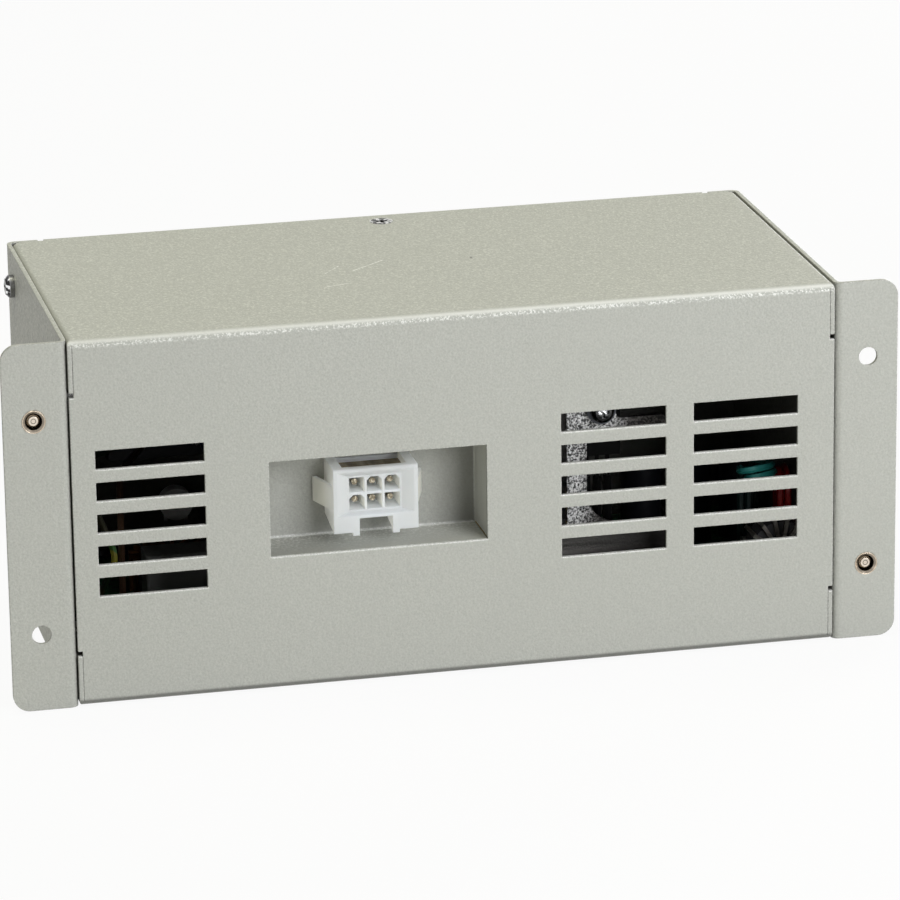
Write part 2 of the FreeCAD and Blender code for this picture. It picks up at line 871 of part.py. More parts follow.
def board():
    """Circuit board with a hole at each corner."""
    plate = block((board_left, board_right), (board_front, board_rear), (board_under, board_top))
    holes = []
    for x, y in board_hole_places():
        holes.append(rod(screw / 2 + screw_ease, board_thickness, V(x, y, board_under), ALONG_Z))
    return plate.cut(holes)


def standoffs():
    """Hexagonal standoffs that clamp the board: shank through its hole, nut on top."""
    shank_flats = screw * math.sqrt(3) / 2
    posts = []
    for x, y in board_hole_places():
        post = hexagon(standoff_flats, standoff_height, V(x, y, sheet), ALONG_Z)
        shank = hexagon(shank_flats, board_thickness, V(x, y, board_under), ALONG_Z)
        nut = hexagon(nut_flats, nut_height, V(x, y, board_top), ALONG_Z)
        posts.append(joined([post, shank, nut]))
    return posts


def diode_bracket():
    """Plain metal plate that stands on the board: a base, a swept post, a head for the diode and its arm."""
    right = bracket_left + bracket_width
    head_right = bracket_left + bracket_head_width
    base_left = bracket_left - bracket_foot
    base = board_top + bracket_base
    head = bracket_top - bracket_head
    arm = head + bracket_arm
    post = bracket_left + bracket_post
    shape = ((base_left, board_top), (right, board_top), (right, base), (post, base), (post, head),
             (right, head), (right, arm), (head_right, arm), (head_right, bracket_top),
             (bracket_left, bracket_top), (bracket_left, base), (base_left, base))
    radii = [0, 0, bracket_round, bracket_sweep, bracket_round] + [bracket_edge] * 7
    plate = prism([V(x, bracket_front, z) for x, z in shape], radii, V(0, bracket_thickness, 0))
    start = V(bracket_screw_x, bracket_front, bracket_screw_z)
    return plate.cut(rod(screw / 2 + screw_ease, bracket_thickness, start, ALONG_Y))


def bracket_pad():
    """Insulating pad between the washer and the bracket's head."""
    start = V(bracket_screw_x, bracket_front - pad_thickness, bracket_screw_z)
    ring = rod(pad / 2, pad_thickness, start, ALONG_Y)
    return ring.cut(rod(screw / 2 + screw_ease, pad_thickness, start, ALONG_Y))


def bracket_washer():
    """Washer under the diode screw's head."""
    start = V(bracket_screw_x, bracket_front - pad_thickness - washer_thickness, bracket_screw_z)
    ring = rod(washer / 2, washer_thickness, start, ALONG_Y)
    return ring.cut(rod(screw / 2 + screw_ease, washer_thickness, start, ALONG_Y))


def bracket_screw():
    """Pan-head screw that clamps the diode to the bracket."""
    clamped = washer_thickness + pad_thickness + bracket_thickness + tab_thickness
    one = pan_screw(clamped + nut_height + screw_past_nut)
    one.rotate(V(0, 0, 0), ALONG_X, 90)
    one.translate(V(bracket_screw_x, bracket_front - pad_thickness - washer_thickness, bracket_screw_z))
    return one


def bracket_nut():
    """Nut behind the diode's tab."""
    start = V(bracket_screw_x, bracket_rear + tab_thickness, bracket_screw_z)
    return hex_nut(nut_flats, screw, nut_height, start, ALONG_Y)


def package_foot():
    """How far the ends of a package's legs lie below its hole."""
    return tab_height - tab_above_hole + leg_length


def flat_tab_package():
    """Power package: tab in the XZ plane from y = 0, hole at the origin, legs down."""
    low = tab_above_hole - tab_height
    tab = block(about(0, package_width), (0, tab_thickness), (low, tab_above_hole))
    tab = tab.cut(rod(screw / 2 + screw_ease, tab_thickness, V(0, 0, 0), ALONG_Y))
    pieces = [tab, block(about(0, package_width), (0, package_thickness), up(low, package_height))]
    for i in (-1, 0, 1):
        pieces.append(block(about(i * leg_pitch, leg_width), about(package_thickness / 2, leg_thickness),
                            (-package_foot(), low + package_height / 2)))
    return joined(pieces)


def isolation_diode():
    """Diode package clamped behind the bracket's head."""
    package = flat_tab_package()
    package.translate(V(bracket_screw_x, bracket_rear, bracket_screw_z))
    return package


def diode_sleeves():
    """Sleeved leads from the diode's legs straight down to the board."""
    rise = V(0, 0, bracket_screw_z - package_foot() - board_top)
    tubes = []
    for i in (-1, 0, 1):
        start = V(bracket_screw_x + i * leg_pitch, bracket_rear + package_thickness / 2, board_top)
        tubes.append(sharp_prism(polygon(start, ALONG_Z, sleeve / 2, sleeve_sides), rise))
    return tubes


def transformer_core():
    """Ferrite core with a middle leg and two windows."""
    body = block(about(transformer_x, core_width), about(transformer_y, core_depth),
                 up(board_top, core_height))
    window = (core_width - core_leg - 2 * core_side) / 2
    cuts = []
    for out in (1, -1):
        x = transformer_x + out * (core_leg + window) / 2
        cuts.append(block(about(x, window), about(transformer_y, 2 * core_depth),
                          (board_top + core_yoke, board_top + core_height - core_yoke)))
    return body.cut(cuts)


def bobbin_stretch():
    """Height limits of the bobbin between the core's yokes."""
    return board_top + core_yoke + bobbin_ease, board_top + core_height - core_yoke - bobbin_ease


def transformer_bobbin():
    """Moulded tube round the middle leg, with a flange at each end."""
    low, high = bobbin_stretch()
    tube_x = core_leg + 2 * (bobbin_ease + bobbin_wall)
    tube_y = core_depth + 2 * (bobbin_ease + bobbin_wall)
    flange_x = tube_x + 2 * winding_side
    flange_y = 2 * bobbin_half
    pieces = [block(about(transformer_x, tube_x), about(transformer_y, tube_y), (low, high))]
    for base in (low, high - bobbin_flange):
        pieces.append(block(about(transformer_x, flange_x), about(transformer_y, flange_y),
                            up(base, bobbin_flange)))
    hole = block(about(transformer_x, core_leg + 2 * bobbin_ease),
                 about(transformer_y, core_depth + 2 * bobbin_ease), (low - cutter, high + cutter))
    return joined(pieces).cut(hole)


def transformer_winding():
    """Taped winding round the bobbin, with rounded corners."""
    low, high = bobbin_stretch()
    tube_x = core_leg + 2 * (bobbin_ease + bobbin_wall + winding_ease)
    tube_y = core_depth + 2 * (bobbin_ease + bobbin_wall + winding_ease)
    half_x = tube_x / 2 + winding_side - 2 * winding_ease
    half_y = tube_y / 2 + winding_end
    base = low + bobbin_flange + winding_ease
    corners = [V(transformer_x + i * half_x, transformer_y + j * half_y, base)
               for i, j in ((-1, -1), (1, -1), (1, 1), (-1, 1))]
    solid = prism(corners, [winding_side] * 4, V(0, 0, high - bobbin_flange - winding_ease - base))
    return solid.cut(block(about(transformer_x, tube_x), about(transformer_y, tube_y), (low, high)))


def toroid_core(x, y, outer, bore, thickness):
    """Ring core standing on the board, its axis along Y."""
    start = V(x, y - thickness / 2, board_top + outer / 2 + choke_lift)
    return rod(outer / 2, thickness, start, ALONG_Y).cut(rod(bore / 2, thickness, start, ALONG_Y))


def toroid_winding(x, y, outer, bore, thickness, turns):
    """Separate turns of wire round a ring core."""
    z = board_top + outer / 2 + choke_lift
    low = bore / 2 - winding_ease
    high = outer / 2 + winding_ease
    deep = thickness + 2 * winding_ease
    loops = []
    for i in range(turns):
        zs = (z + low - choke_wire, z + high + choke_wire)
        loop = block(about(x, choke_wire), about(y, deep + 2 * choke_wire), zs)
        loop = loop.cut(block(about(x, 2 * choke_wire), about(y, deep), (z + low, z + high)))
        loop.rotate(V(x, y, z), ALONG_Y, 360 * (i + 1 / 2) / turns)
        loops.append(loop)
    return loops


def laid_flat(shape, x, y, outer, bore, thickness):
    """A standing ring, or one of its turns, turned down to lie on the board."""
    shape.rotate(V(x, y, board_top + outer / 2 + choke_lift), ALONG_X, 90)
    shape.translate(V(0, 0, (thickness - outer) / 2))
    return shape


def output_choke_args():
    """Place and sizes of the output choke's ring."""
    x = board_right - output_choke_place[0]
    y = board_front + output_choke_place[1]
    return x, y, output_choke, output_choke_bore, output_choke_thickness


def line_choke_args():
    """Place and sizes of the line choke's ring."""
    x = board_left + line_choke_place[0]
    return x, line_choke_y, line_choke, line_choke_bore, line_choke_thickness


def bulk_can():
    """Bulk capacitor: plain upright can."""
    return rod(bulk_diameter / 2, bulk_height, V(bulk_x, bulk_y, board_top), ALONG_Z)


def output_cans():
    """Row of output capacitors."""
    y = board_middle + output_can_place[1]
    cans = []
    for i in range(output_can_count):
        x = board_right - output_can_place[0] - i * output_can_pitch
        cans.append(rod(output_can / 2, output_can_height, V(x, y, board_top), ALONG_Z))
    return cans


def film_capacitor():
    """Boxed line capacitor with rounded upright edges."""
    half_x = film_length / 2
    half_y = film_width / 2
    middle_x = board_left + film_place[0]
    middle_y = board_front + film_place[1]
    corners = [V(middle_x + i * half_x, middle_y + j * half_y, board_top)
               for i, j in ((-1, -1), (1, -1), (1, 1), (-1, 1))]
    return prism(corners, [film_round] * 4, V(0, 0, film_height))


def bridge_rectifier():
    """Flat bridge package with one corner cut off."""
    y = board_rear - bridge_width
    left = bridge_x - bridge_length / 2
    right = left + bridge_length
    top = board_top + bridge_height
    shape = ((left, board_top), (right, board_top), (right, top), (left + bridge_notch, top),
             (left, top - bridge_notch))
    return sharp_prism([V(i, y, j) for i, j in shape], V(0, bridge_width, 0))


def disc_part(x, y, lift):
    """Round disc on two wires, its face towards the front."""
    pieces = [rod(disc / 2, disc_thickness, V(x, y - disc_thickness / 2, board_top + lift), ALONG_Y)]
    for out in (1, -1):
        pieces.append(block(about(x + out * disc_wire_pitch / 2, disc_wire), about(y, disc_wire),
                            up(board_top, lift)))
    return joined(pieces)


def fuse_glass():
    """Glass tube between the fuse's caps."""
    length = fuse_length - 2 * fuse_cap_length
    return rod(fuse_tube / 2, length, V(fuse_x - length / 2, fuse_y, fuse_z), ALONG_X)


def fuse_caps():
    """Metal end caps of the fuse."""
    caps = []
    for start in (fuse_x - fuse_length / 2, fuse_x + fuse_length / 2 - fuse_cap_length):
        caps.append(rod(fuse_cap / 2, fuse_cap_length, V(start, fuse_y, fuse_z), ALONG_X))
    return caps


def fuse_clips():
    """Sprung clips that hold the caps on the board."""
    inside = fuse_cap / 2 + press_ease
    width = 2 * (inside + clip_thickness)
    top = board_top + clip_height
    clips = []
    for out in (1, -1):
        xs = about(fuse_x + out * (fuse_length - fuse_cap_length) / 2, clip_width)
        solid = block(xs, about(fuse_y, width), (board_top, top))
        room = rod(inside, clip_width, V(xs[0], fuse_y, fuse_z), ALONG_X)
        mouth = block(xs, about(fuse_y, fuse_cap * clip_mouth), (fuse_z, top + cutter))
        low = block(xs, about(fuse_y, fuse_cap * clip_mouth), (board_top + clip_thickness, fuse_z))
        clips.append(solid.cut([room, mouth, low]))
    return clips


def switch_heatsink():
    """Folded aluminium plate that cools the switching transistor."""
    top = sink_height - sink_thickness
    start = transformer_y - sink_length / 2
    outline = [V(sink_x + i, start, board_top + k) for i, k in (
        (0, 0), (0, sink_height), (-sink_foot, sink_height), (-sink_foot, top), (-sink_thickness, top),
        (-sink_thickness, 0))]
    return prism(outline, [0, sink_fold + sink_thickness, 0, 0, sink_fold, 0], V(0, sink_length, 0))


def switch_transistor():
    """Switching transistor on the heatsink, its legs in the board."""
    package = flat_tab_package()
    package.rotate(V(0, 0, 0), ALONG_Z, -90)
    package.translate(V(sink_x, transformer_y, board_top + package_foot()))
    return package


def control_chip():
    """Control circuit in a moulded package, standing on its legs."""
    zs = up(board_top + chip_lift, chip_height)
    pieces = [block(about(chip_x, chip_width), about(chip_y, chip_length), zs)]
    for out in (1, -1):
        for i in range(chip_legs):
            along = chip_y + (i - (chip_legs - 1) / 2) * leg_pitch
            side = chip_x + out * chip_width / 2
            pieces.append(block(about(side, 2 * chip_leg), about(along, leg_width),
                                up(board_top, chip_leg_height)))
    return joined(pieces)


def inlet_screw_places():
    """Where the inlet is screwed to the rear panel."""
    return about(inlet_x, inlet_screw_pitch)


def inlet_outline(ease, start, length):
    """Inlet body section with two cut corners, pushed along Y."""
    half_x = inlet_body_width / 2 + ease
    half_z = inlet_body_height / 2 + ease
    cut = inlet_chamfer
    shape = ((-half_x, -half_z), (half_x, -half_z), (half_x, half_z - cut), (half_x - cut, half_z),
             (-half_x + cut, half_z), (-half_x, half_z - cut))
    return sharp_prism([V(inlet_x + i, start, inlet_z + k) for i, k in shape], V(0, length, 0))


def mains_inlet():
    """Moulded mains inlet: flange on the rear panel, body inside, cavity with cut corners."""
    half_x = inlet_flange_width / 2
    half_z = inlet_flange_height / 2
    corners = [V(inlet_x + i * half_x, rear, inlet_z + k * half_z)
               for i, k in ((-1, -1), (1, -1), (1, 1), (-1, 1))]
    flange = prism(corners, [inlet_flange_round] * 4, V(0, inlet_flange_thickness, 0))
    body = inlet_outline(0, rear - inlet_body_depth, inlet_body_depth + inlet_flange_thickness / 2)
    cuts = [inlet_outline(-inlet_wall, inlet_face - inlet_cavity_depth, inlet_cavity_depth + cutter)]
    cuts += [blade_solid(x, z, press_ease) for x, z in blade_places()]
    cuts += [inlet_screw_solid(x, screw_ease) for x in inlet_screw_places()]
    return joined([flange, body]).cut(cuts)


def blade_places():
    """Line, earth and neutral blades, from the left seen from the front."""
    drop = blade_earth_lift / 2
    return ((inlet_x - blade_pitch / 2, inlet_z - drop), (inlet_x, inlet_z + drop),
            (inlet_x + blade_pitch / 2, inlet_z - drop))


def blade_solid(x, z, ease):
    """Contact blade with its push-on tab behind the inlet."""
    floor = inlet_face - inlet_cavity_depth
    back = rear - inlet_body_depth
    blade = block(about(x, blade_thickness + 2 * ease), (back, floor + blade_length),
                  about(z, blade_width + 2 * ease))
    tab = block(about(x, tab_blade_thickness + 2 * ease), (tab_end, (back + floor) / 2),
                about(z, tab_blade_width + 2 * ease))
    return joined([blade, tab])


def inlet_blades():
    """The three blades of the inlet."""
    return [blade_solid(x, z, 0) for x, z in blade_places()]


def inlet_screw_solid(x, ease):
    """Countersunk screw through the inlet's flange and the rear panel, or its hole."""
    one = flat_screw(inlet_flange_thickness + sheet + nut_height + screw_past_nut, ease)
    if ease == 0:
        one = one.cut(cross_recess(0))
    one.rotate(V(0, 0, 0), ALONG_X, -90)
    one.translate(V(x, inlet_face, inlet_z))
    return one


def inlet_screws():
    """The inlet's two screws."""
    return [inlet_screw_solid(x, 0) for x in inlet_screw_places()]


def inlet_nuts():
    """Nuts on the inlet's screws, inside the rear panel."""
    return [hex_nut(nut_flats, screw, nut_height, V(x, rear_inner, inlet_z), -ALONG_Y)
            for x in inlet_screw_places()]


def earth_stud():
    """Welded stud on the bottom sheet."""
    start = V(stud_x, stud_y, sheet)
    base = rod(stud_base / 2, stud_base_height, start, ALONG_Z)
    return joined([base, rod(stud / 2, stud_length, start, ALONG_Z)])


def earth_terminal():
    """Ring terminal on the stud, its barrel towards the front."""
    start = V(stud_x, stud_y, ring_base)
    above = V(stud_x, stud_y, ring_base + ring_thickness)
    ring = rod(ring_outer / 2, ring_thickness, start, ALONG_Z)
    shaft = rod(barrel / 2, barrel_length, V(stud_x, barrel_front, barrel_z), ALONG_Y)
    neck = block(about(stud_x, ring_outer / 3), (barrel_front + barrel_length * 3 / 4, stud_y),
                 up(ring_base, ring_thickness))
    hole = rod(stud / 2 + press_ease, ring_thickness, start, ALONG_Z)
    nut_room = rod(stud_nut_flats / math.sqrt(3) + press_ease, stud_nut_height, above, ALONG_Z)
    return joined([ring, shaft, neck]).cut([hole, nut_room])


def earth_nut():
    """Nut that clamps the ring terminal."""
    start = V(stud_x, stud_y, ring_base + ring_thickness)
    return hex_nut(stud_nut_flats, stud, stud_nut_height, start, ALONG_Z)


def lead_along(points):
    """Lead along straight runs joined by tangent arcs; few sides keep its facets few."""
    edges = []
    last = points[0]
    for i in range(1, len(points) - 1):
        back = points[i - 1] - points[i]
        on = points[i + 1] - points[i]
        half = back.getAngle(on) / 2
        reach = min(lead_bend / math.tan(half), 0.45 * min(back.Length, on.Length))
        radius = reach * math.tan(half)
        back.normalize()
        on.normalize()
        bisector = (back + on).normalize()
        start = points[i] + back * reach
        end = points[i] + on * reach
        crown = points[i] + bisector * (radius / math.sin(half) - radius)
        edges.append(Part.LineSegment(last, start).toShape())
        edges.append(Part.Arc(start, crown, end).toShape())
        last = end
    edges.append(Part.LineSegment(last, points[-1]).toShape())
    way = (points[1] - points[0]).normalize()
    corners = polygon(points[0], way, lead / 2, lead_sides)
    return Part.Wire(edges).makePipeShell([Part.makePolygon(corners + corners[:1])], True, False)


def mains_lead(foot_place, rise, lean, blade):
    """Lead from the board to one of the inlet's outer blades."""
    x, z = blade
    foot = V(board_left + foot_place[0], board_front + foot_place[1], board_top)
    return lead_along([foot, foot + V(0, 0, rise), foot + V(lean[0], lean[1], lean[2]),
                       V(x, tab_end - lead_straight, z), V(x, tab_end, z)])


def earth_lead():
    """Lead from the ring terminal to the inlet's earth blade."""
    x, z = blade_places()[1]
    start = V(stud_x, barrel_front, barrel_z)
    points = [start] + [start + V(i, j, k) for i, j, k in earth_turns]
    return lead_along(points + [V(x, tab_end - lead_straight, z), V(x, tab_end, z)])


def harness_start(column, row):
    """First points of an output lead: out of the connector, down behind it, and its place along the board."""
    start = contact_place(column, row)
    y = harness_y + row * lead_step
    z = board_top + harness_lift + column * lead_step
    return [start, V(start.x, y, start.z), V(start.x, y, z)], y, z


def black_leads():
    """Return leads, to the middle of the board."""
    leads = []
    for row in (0, 1):
        points, y, z = harness_start(0, row)
        x = board_right - black_end
        leads.append(lead_along(points + [V(x, y, z), V(x, y, board_top)]))
    return leads


def teal_leads():
    """Sense leads, with a slack loop at the right end behind the vents."""
    leads = []
    for row in (0, 1):
        points, y, z = harness_start(2, row)
        slip = row * lead_step
        x = board_right - teal_rise[0] + slip
        points += [V(x, y, z), V(x, y, board_top + teal_rise[1] - slip)]
        for i, (from_right, from_front, above) in enumerate(teal_turns):
            aside = slip if i else 0
            points.append(V(board_right - from_right + aside, board_front + from_front,
                            board_top + above - slip))
        last = points[-1]
        leads.append(lead_along(points + [V(last.x, last.y, board_top)]))
    return leads


def red_leads():
    """Output leads, down to the right end of the board."""
    leads = []
    for row in (0, 1):
        points, y, z = harness_start(1, row)
        slip = row * lead_step
        x = board_right - red_rise[0] + slip
        top = board_top + red_rise[1]
        drop = V(board_right - red_drop[0] + slip, board_front + red_drop[1], top)
        leads.append(lead_along(points + [V(x, y, z), V(x, y, top), drop, V(drop.x, drop.y, board_top)]))
    return leads


os.makedirs("parts", exist_ok=True)

save("front_wrap_cover", cover())
save("rear_chassis", chassis())
save("connector_pocket", pocket())
save("side_screws", side_screws())
save("cover_screws", cover_screws())
save("screw_ferrules", [ferrule(axis_x, axis_z) for side_name, axis_x, axis_z in captive_places()])
for side_name, axis_x, axis_z in captive_places():
    save(side_name + "_captive_screw", captive_screw(axis_x, axis_z))
    save(side_name + "_screw_spring", captive_spring(axis_x, axis_z))
save("connector_housing", connector_housing())
save("connector_contacts", connector_contacts())
save("circuit_board", board())
save("board_standoffs", standoffs())
save("diode_bracket", diode_bracket())
save("bracket_pad", bracket_pad())
save("bracket_washer", bracket_washer())
save("bracket_screw", bracket_screw())
save("bracket_nut", bracket_nut())
save("isolation_diode", isolation_diode())
save("diode_sleeves", diode_sleeves())
save("transformer_core", transformer_core())
save("transformer_bobbin", transformer_bobbin())
save("transformer_winding", transformer_winding())
save("output_choke_core", toroid_core(*output_choke_args()))
save("output_choke_winding", toroid_winding(*output_choke_args(), output_choke_turns))
save("line_choke_core", laid_flat(toroid_core(*line_choke_args()), *line_choke_args()))
save("line_choke_winding", [laid_flat(one, *line_choke_args())
                            for one in toroid_winding(*line_choke_args(), line_choke_turns)])
save("bulk_capacitor", bulk_can())
save("output_capacitors", output_cans())
save("line_capacitor", film_capacitor())
save("bridge_rectifier", bridge_rectifier())
save("inrush_thermistor", disc_part(thermistor_x, thermistor_y, thermistor_height))
save("fuse_glass", fuse_glass())
save("fuse_caps", fuse_caps())
save("fuse_clips", fuse_clips())
save("switch_heatsink", switch_heatsink())
save("switch_transistor", switch_transistor())
save("control_chip", control_chip())
save("mains_inlet", mains_inlet())
save("inlet_blades", inlet_blades())
save("inlet_screws", inlet_screws())
save("inlet_nuts", inlet_nuts())
save("earth_stud", earth_stud())
save("earth_terminal", earth_terminal())
save("earth_nut", earth_nut())
save("line_lead", mains_lead(line_foot, line_rise, line_lean, blade_places()[0]))
save("neutral_lead", mains_lead(neutral_foot, neutral_rise, neutral_lean, blade_places()[2]))
save("earth_lead", earth_lead())
save("black_leads", black_leads())
save("teal_leads", teal_leads())
save("red_leads", red_leads())
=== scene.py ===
import math

import bpy
from mathutils import Matrix, Vector


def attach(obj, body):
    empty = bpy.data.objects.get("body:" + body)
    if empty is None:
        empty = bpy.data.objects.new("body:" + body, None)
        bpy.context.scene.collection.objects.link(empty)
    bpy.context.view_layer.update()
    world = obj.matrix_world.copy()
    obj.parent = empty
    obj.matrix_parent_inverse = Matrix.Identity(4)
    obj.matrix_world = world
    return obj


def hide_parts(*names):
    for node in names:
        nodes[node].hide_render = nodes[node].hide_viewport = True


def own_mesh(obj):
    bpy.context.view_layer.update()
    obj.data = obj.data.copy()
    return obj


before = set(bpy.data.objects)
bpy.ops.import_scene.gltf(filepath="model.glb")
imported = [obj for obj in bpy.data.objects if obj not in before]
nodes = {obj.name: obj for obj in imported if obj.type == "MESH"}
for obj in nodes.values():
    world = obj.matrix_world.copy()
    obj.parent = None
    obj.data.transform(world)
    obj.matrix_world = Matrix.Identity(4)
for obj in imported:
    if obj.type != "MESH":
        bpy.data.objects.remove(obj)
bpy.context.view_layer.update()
scene = bpy.context.scene

# Places on the CAD part that the looks and the added coils follow, in metres.
HALF_DEPTH = 0.0442
FRONT = -HALF_DEPTH
SHEET = 0.001
INSIDE_X = 0.0907
HEIGHT = 0.0881
POCKET_BACK = FRONT + 0.0145
POCKET_RIGHT = 0.0065
CAPTIVE = {"left": (-0.09882, 0.0697), "right": (0.09882, 0.0184)}
SPRING_FROM = FRONT + 0.0075
SPRING_TO = FRONT + 0.01325
DIODE_SCREW = (0.03635, 0.0591)
PLATE_TOP = 0.03
RECESS_LOW, RECESS_HIGH = 0.0485, 0.0505
# Height band outside which the earth lead is painted dark as shade.
EARTH_LIT = (0.0225, 0.0305)
# Heights below which the thermistor and the teal leads are painted dark as shade.
THERMISTOR_LOW = 0.0235
TEAL_LOW = 0.0365
SHADE_FROM, SHADE_TO = FRONT + 0.012, FRONT + 0.034
# Where the bracket's skin and low plate turn dark to the right as painted shade.
SKIN_STEP = (0.0505, 0.0515)
SKIN_ENDS = (0.0305, 0.0385)
PLATE_FADE = (0.028, 0.042)

# Dark rings painted on turned pieces as shade in bevels and threads and round a bright centre glint, as
# (radius, half width), and the plane behind which the tips have none.
TIP_RINGS = ((0.00055, 0.00012), (0.00118, 0.0001))
TIP_BACK = FRONT + 0.0012
FERRULE_RINGS = ((0.0022, 0.0004),)
HEAD_RINGS = ((0.0019, 0.0015),)

# Scratches in the coat of the top, and one dark speck: both ends of each, as (x, y).
SCRATCHES = (
    ((-0.02386, -0.00561), (-0.01837, 0.00165)),
    ((-0.01578, -0.00334), (-0.00710, 0.00401)),
    ((-0.02510, -0.01561), (-0.01914, -0.01371)),
)
SPECK = ((0.01367, 0.0), (0.01367, 0.0011))

# Colours
COAT = (0.455, 0.458, 0.418)
# The next four colours: painted shade inside the box; the bright colour of scratches through the coat and of
# painted highlights on bends, edges and sills; painted sparkle on the pocket floor; painted shade in dark
# places.
INSIDE_SHADE = (0.17, 0.166, 0.15)
WORN_AND_HIGHLIGHT = (0.92, 0.92, 0.89)
SPARK = (0.92, 0.92, 0.88)
GLOOM = (0.003, 0.003, 0.003)
TIP = (0.72, 0.64, 0.54)
WHITE = (1.0, 1.0, 1.0)


# Materials

class Tree:
    """Small helper round one material's node tree."""

    def __init__(self, name):
        self.material = bpy.data.materials.new(name)
        self.material.use_nodes = True
        self.tree = self.material.node_tree
        self.tree.nodes.clear()
        self.out = self.add("ShaderNodeOutputMaterial")
        self.coord = self.add("ShaderNodeTexCoord")

    def add(self, kind, **settings):
        node = self.tree.nodes.new(kind)
        for key, value in settings.items():
            setattr(node, key, value)
        return node

    def link(self, a, b):
        self.tree.links.new(a, b)

    def put(self, value, socket):
        if isinstance(value, (tuple, list)):
            socket.default_value = (*value, 1.0)
        elif isinstance(value, (int, float)):
            socket.default_value = value
        else:
            self.link(value, socket)

    def split(self, vector):
        node = self.add("ShaderNodeSeparateXYZ")
        self.link(vector, node.inputs["Vector"])
        return node.outputs["X"], node.outputs["Y"], node.outputs["Z"]

    # Sums

    def math(self, operation, a, b=0.0):
        node = self.add("ShaderNodeMath", operation=operation)
        self.put(a, node.inputs[0])
        self.put(b, node.inputs[1])
        return node.outputs["Value"]

    def times(self, first, *others):
        for value in others:
            first = self.math("MULTIPLY", first, value)
        return first

    def most(self, first, *others):
        for value in others:
            first = self.math("MAXIMUM", first, value)
        return first

    def least(self, a, b):
        return self.math("MINIMUM", a, b)

    def plus(self, a, b):
        return self.math("ADD", a, b)

    def less(self, a, b):
        return self.math("SUBTRACT", a, b)

    def above(self, a, b):
        return self.math("GREATER_THAN", a, b)

    def below(self, a, b):
        return self.math("LESS_THAN", a, b)

    def size(self, a):
        return self.math("ABSOLUTE", a)

    def length(self, a, b):
        return self.math("SQRT", self.plus(self.times(a, a), self.times(b, b)))

    def spread(self, value, low, high, to_low, to_high):
        """The value, taken from one range to another and held at its ends."""
        node = self.add("ShaderNodeMapRange")
        self.link(value, node.inputs["Value"])
        for key, number in (("From Min", low), ("From Max", high), ("To Min", to_low), ("To Max", to_high)):
            node.inputs[key].default_value = number
        return node.outputs["Result"]

    def band(self, value, low, high, soft):
        """1 between two values, falling to 0 over a soft stretch inside both."""
        rising = self.spread(value, low, low + soft, 0, 1)
        return self.times(rising, self.spread(value, high - soft, high, 1, 0))

    def mix(self, factor, a, b):
        """Colour a at factor 0, colour b at factor 1."""
        node = self.add("ShaderNodeMix", data_type="RGBA")
        sockets = [s for s in node.inputs if s.type == "RGBA"]
        self.put(a, sockets[0])
        self.put(b, sockets[1])
        self.put(factor, node.inputs["Factor"])
        return [s for s in node.outputs if s.type == "RGBA"][0]

    # Grain and relief

    def noise(self, scale, detail=3.0, rough=0.55, stretch=None):
        node = self.add("ShaderNodeTexNoise")
        node.inputs["Scale"].default_value = scale
        node.inputs["Detail"].default_value = detail
        node.inputs["Roughness"].default_value = rough
        source = self.coord.outputs["Object"]
        if stretch is not None:
            mapping = self.add("ShaderNodeMapping")
            mapping.inputs["Scale"].default_value = stretch
            self.link(source, mapping.inputs["Vector"])
            source = mapping.outputs["Vector"]
        self.link(source, node.inputs["Vector"])
        return node.outputs["Fac"]

    def bump(self, value, strength, distance, normal=None):
        node = self.add("ShaderNodeBump")
        node.inputs["Strength"].default_value = strength
        node.inputs["Distance"].default_value = distance
        self.link(value, node.inputs["Height"])
        if normal is not None:
            self.link(normal, node.inputs["Normal"])
        return node.outputs["Normal"]

    def soft_edge(self, radius):
        node = self.add("ShaderNodeBevel", samples=6)
        node.inputs["Radius"].default_value = radius
        return node.outputs["Normal"]

    def edges(self, soft, low, high):
        """1 near an edge, 0 on the flat, from the softened normal."""
        flat = self.add("ShaderNodeNewGeometry").outputs["True Normal"]
        dot = self.add("ShaderNodeVectorMath", operation="DOT_PRODUCT")
        self.link(soft, dot.inputs[0])
        self.link(flat, dot.inputs[1])
        return self.spread(dot.outputs["Value"], high, low, 0, 1)

    # Places on the part

    def axes(self):
        return self.split(self.coord.outputs["Object"])

    def facing(self):
        """Parts of the surface direction along the part's axes."""
        return self.split(self.coord.outputs["Normal"])

    def inside(self):
        """1 on the faces that look into the closed box, 0 on the outside."""
        x, y, z = self.axes()
        return self.times(
            self.below(self.size(x), INSIDE_X + 0.0002),
            self.above(y, FRONT + 0.9 * SHEET),
            self.below(y, HALF_DEPTH - 0.9 * SHEET),
            self.above(z, 0.9 * SHEET),
            self.below(z, HEIGHT - 0.9 * SHEET),
        )

    def depth_shade(self, color):
        """The colour, darker with depth behind the front, as painted shade inside a closed box."""
        x, y, z = self.axes()
        return self.mix(self.spread(y, SHADE_FROM, SHADE_TO, 0, 0.8), color, (0.004, 0.004, 0.004))

    def round_about(self, place):
        """Distance from a line along Y through a place (x, z)."""
        x, y, z = self.axes()
        return self.length(self.less(x, place[0]), self.less(z, place[1]))

    def near_line(self, start, end):
        """Distance from a level line between two points (x, y)."""
        x, y, z = self.axes()
        run = (end[0] - start[0], end[1] - start[1])
        square = run[0] ** 2 + run[1] ** 2
        across = self.less(x, start[0])
        along = self.less(y, start[1])
        share = self.plus(self.times(across, run[0] / square), self.times(along, run[1] / square))
        share = self.least(self.most(share, 0.0), 1.0)
        off_x = self.less(across, self.times(share, run[0]))
        off_y = self.less(along, self.times(share, run[1]))
        return self.length(off_x, off_y)

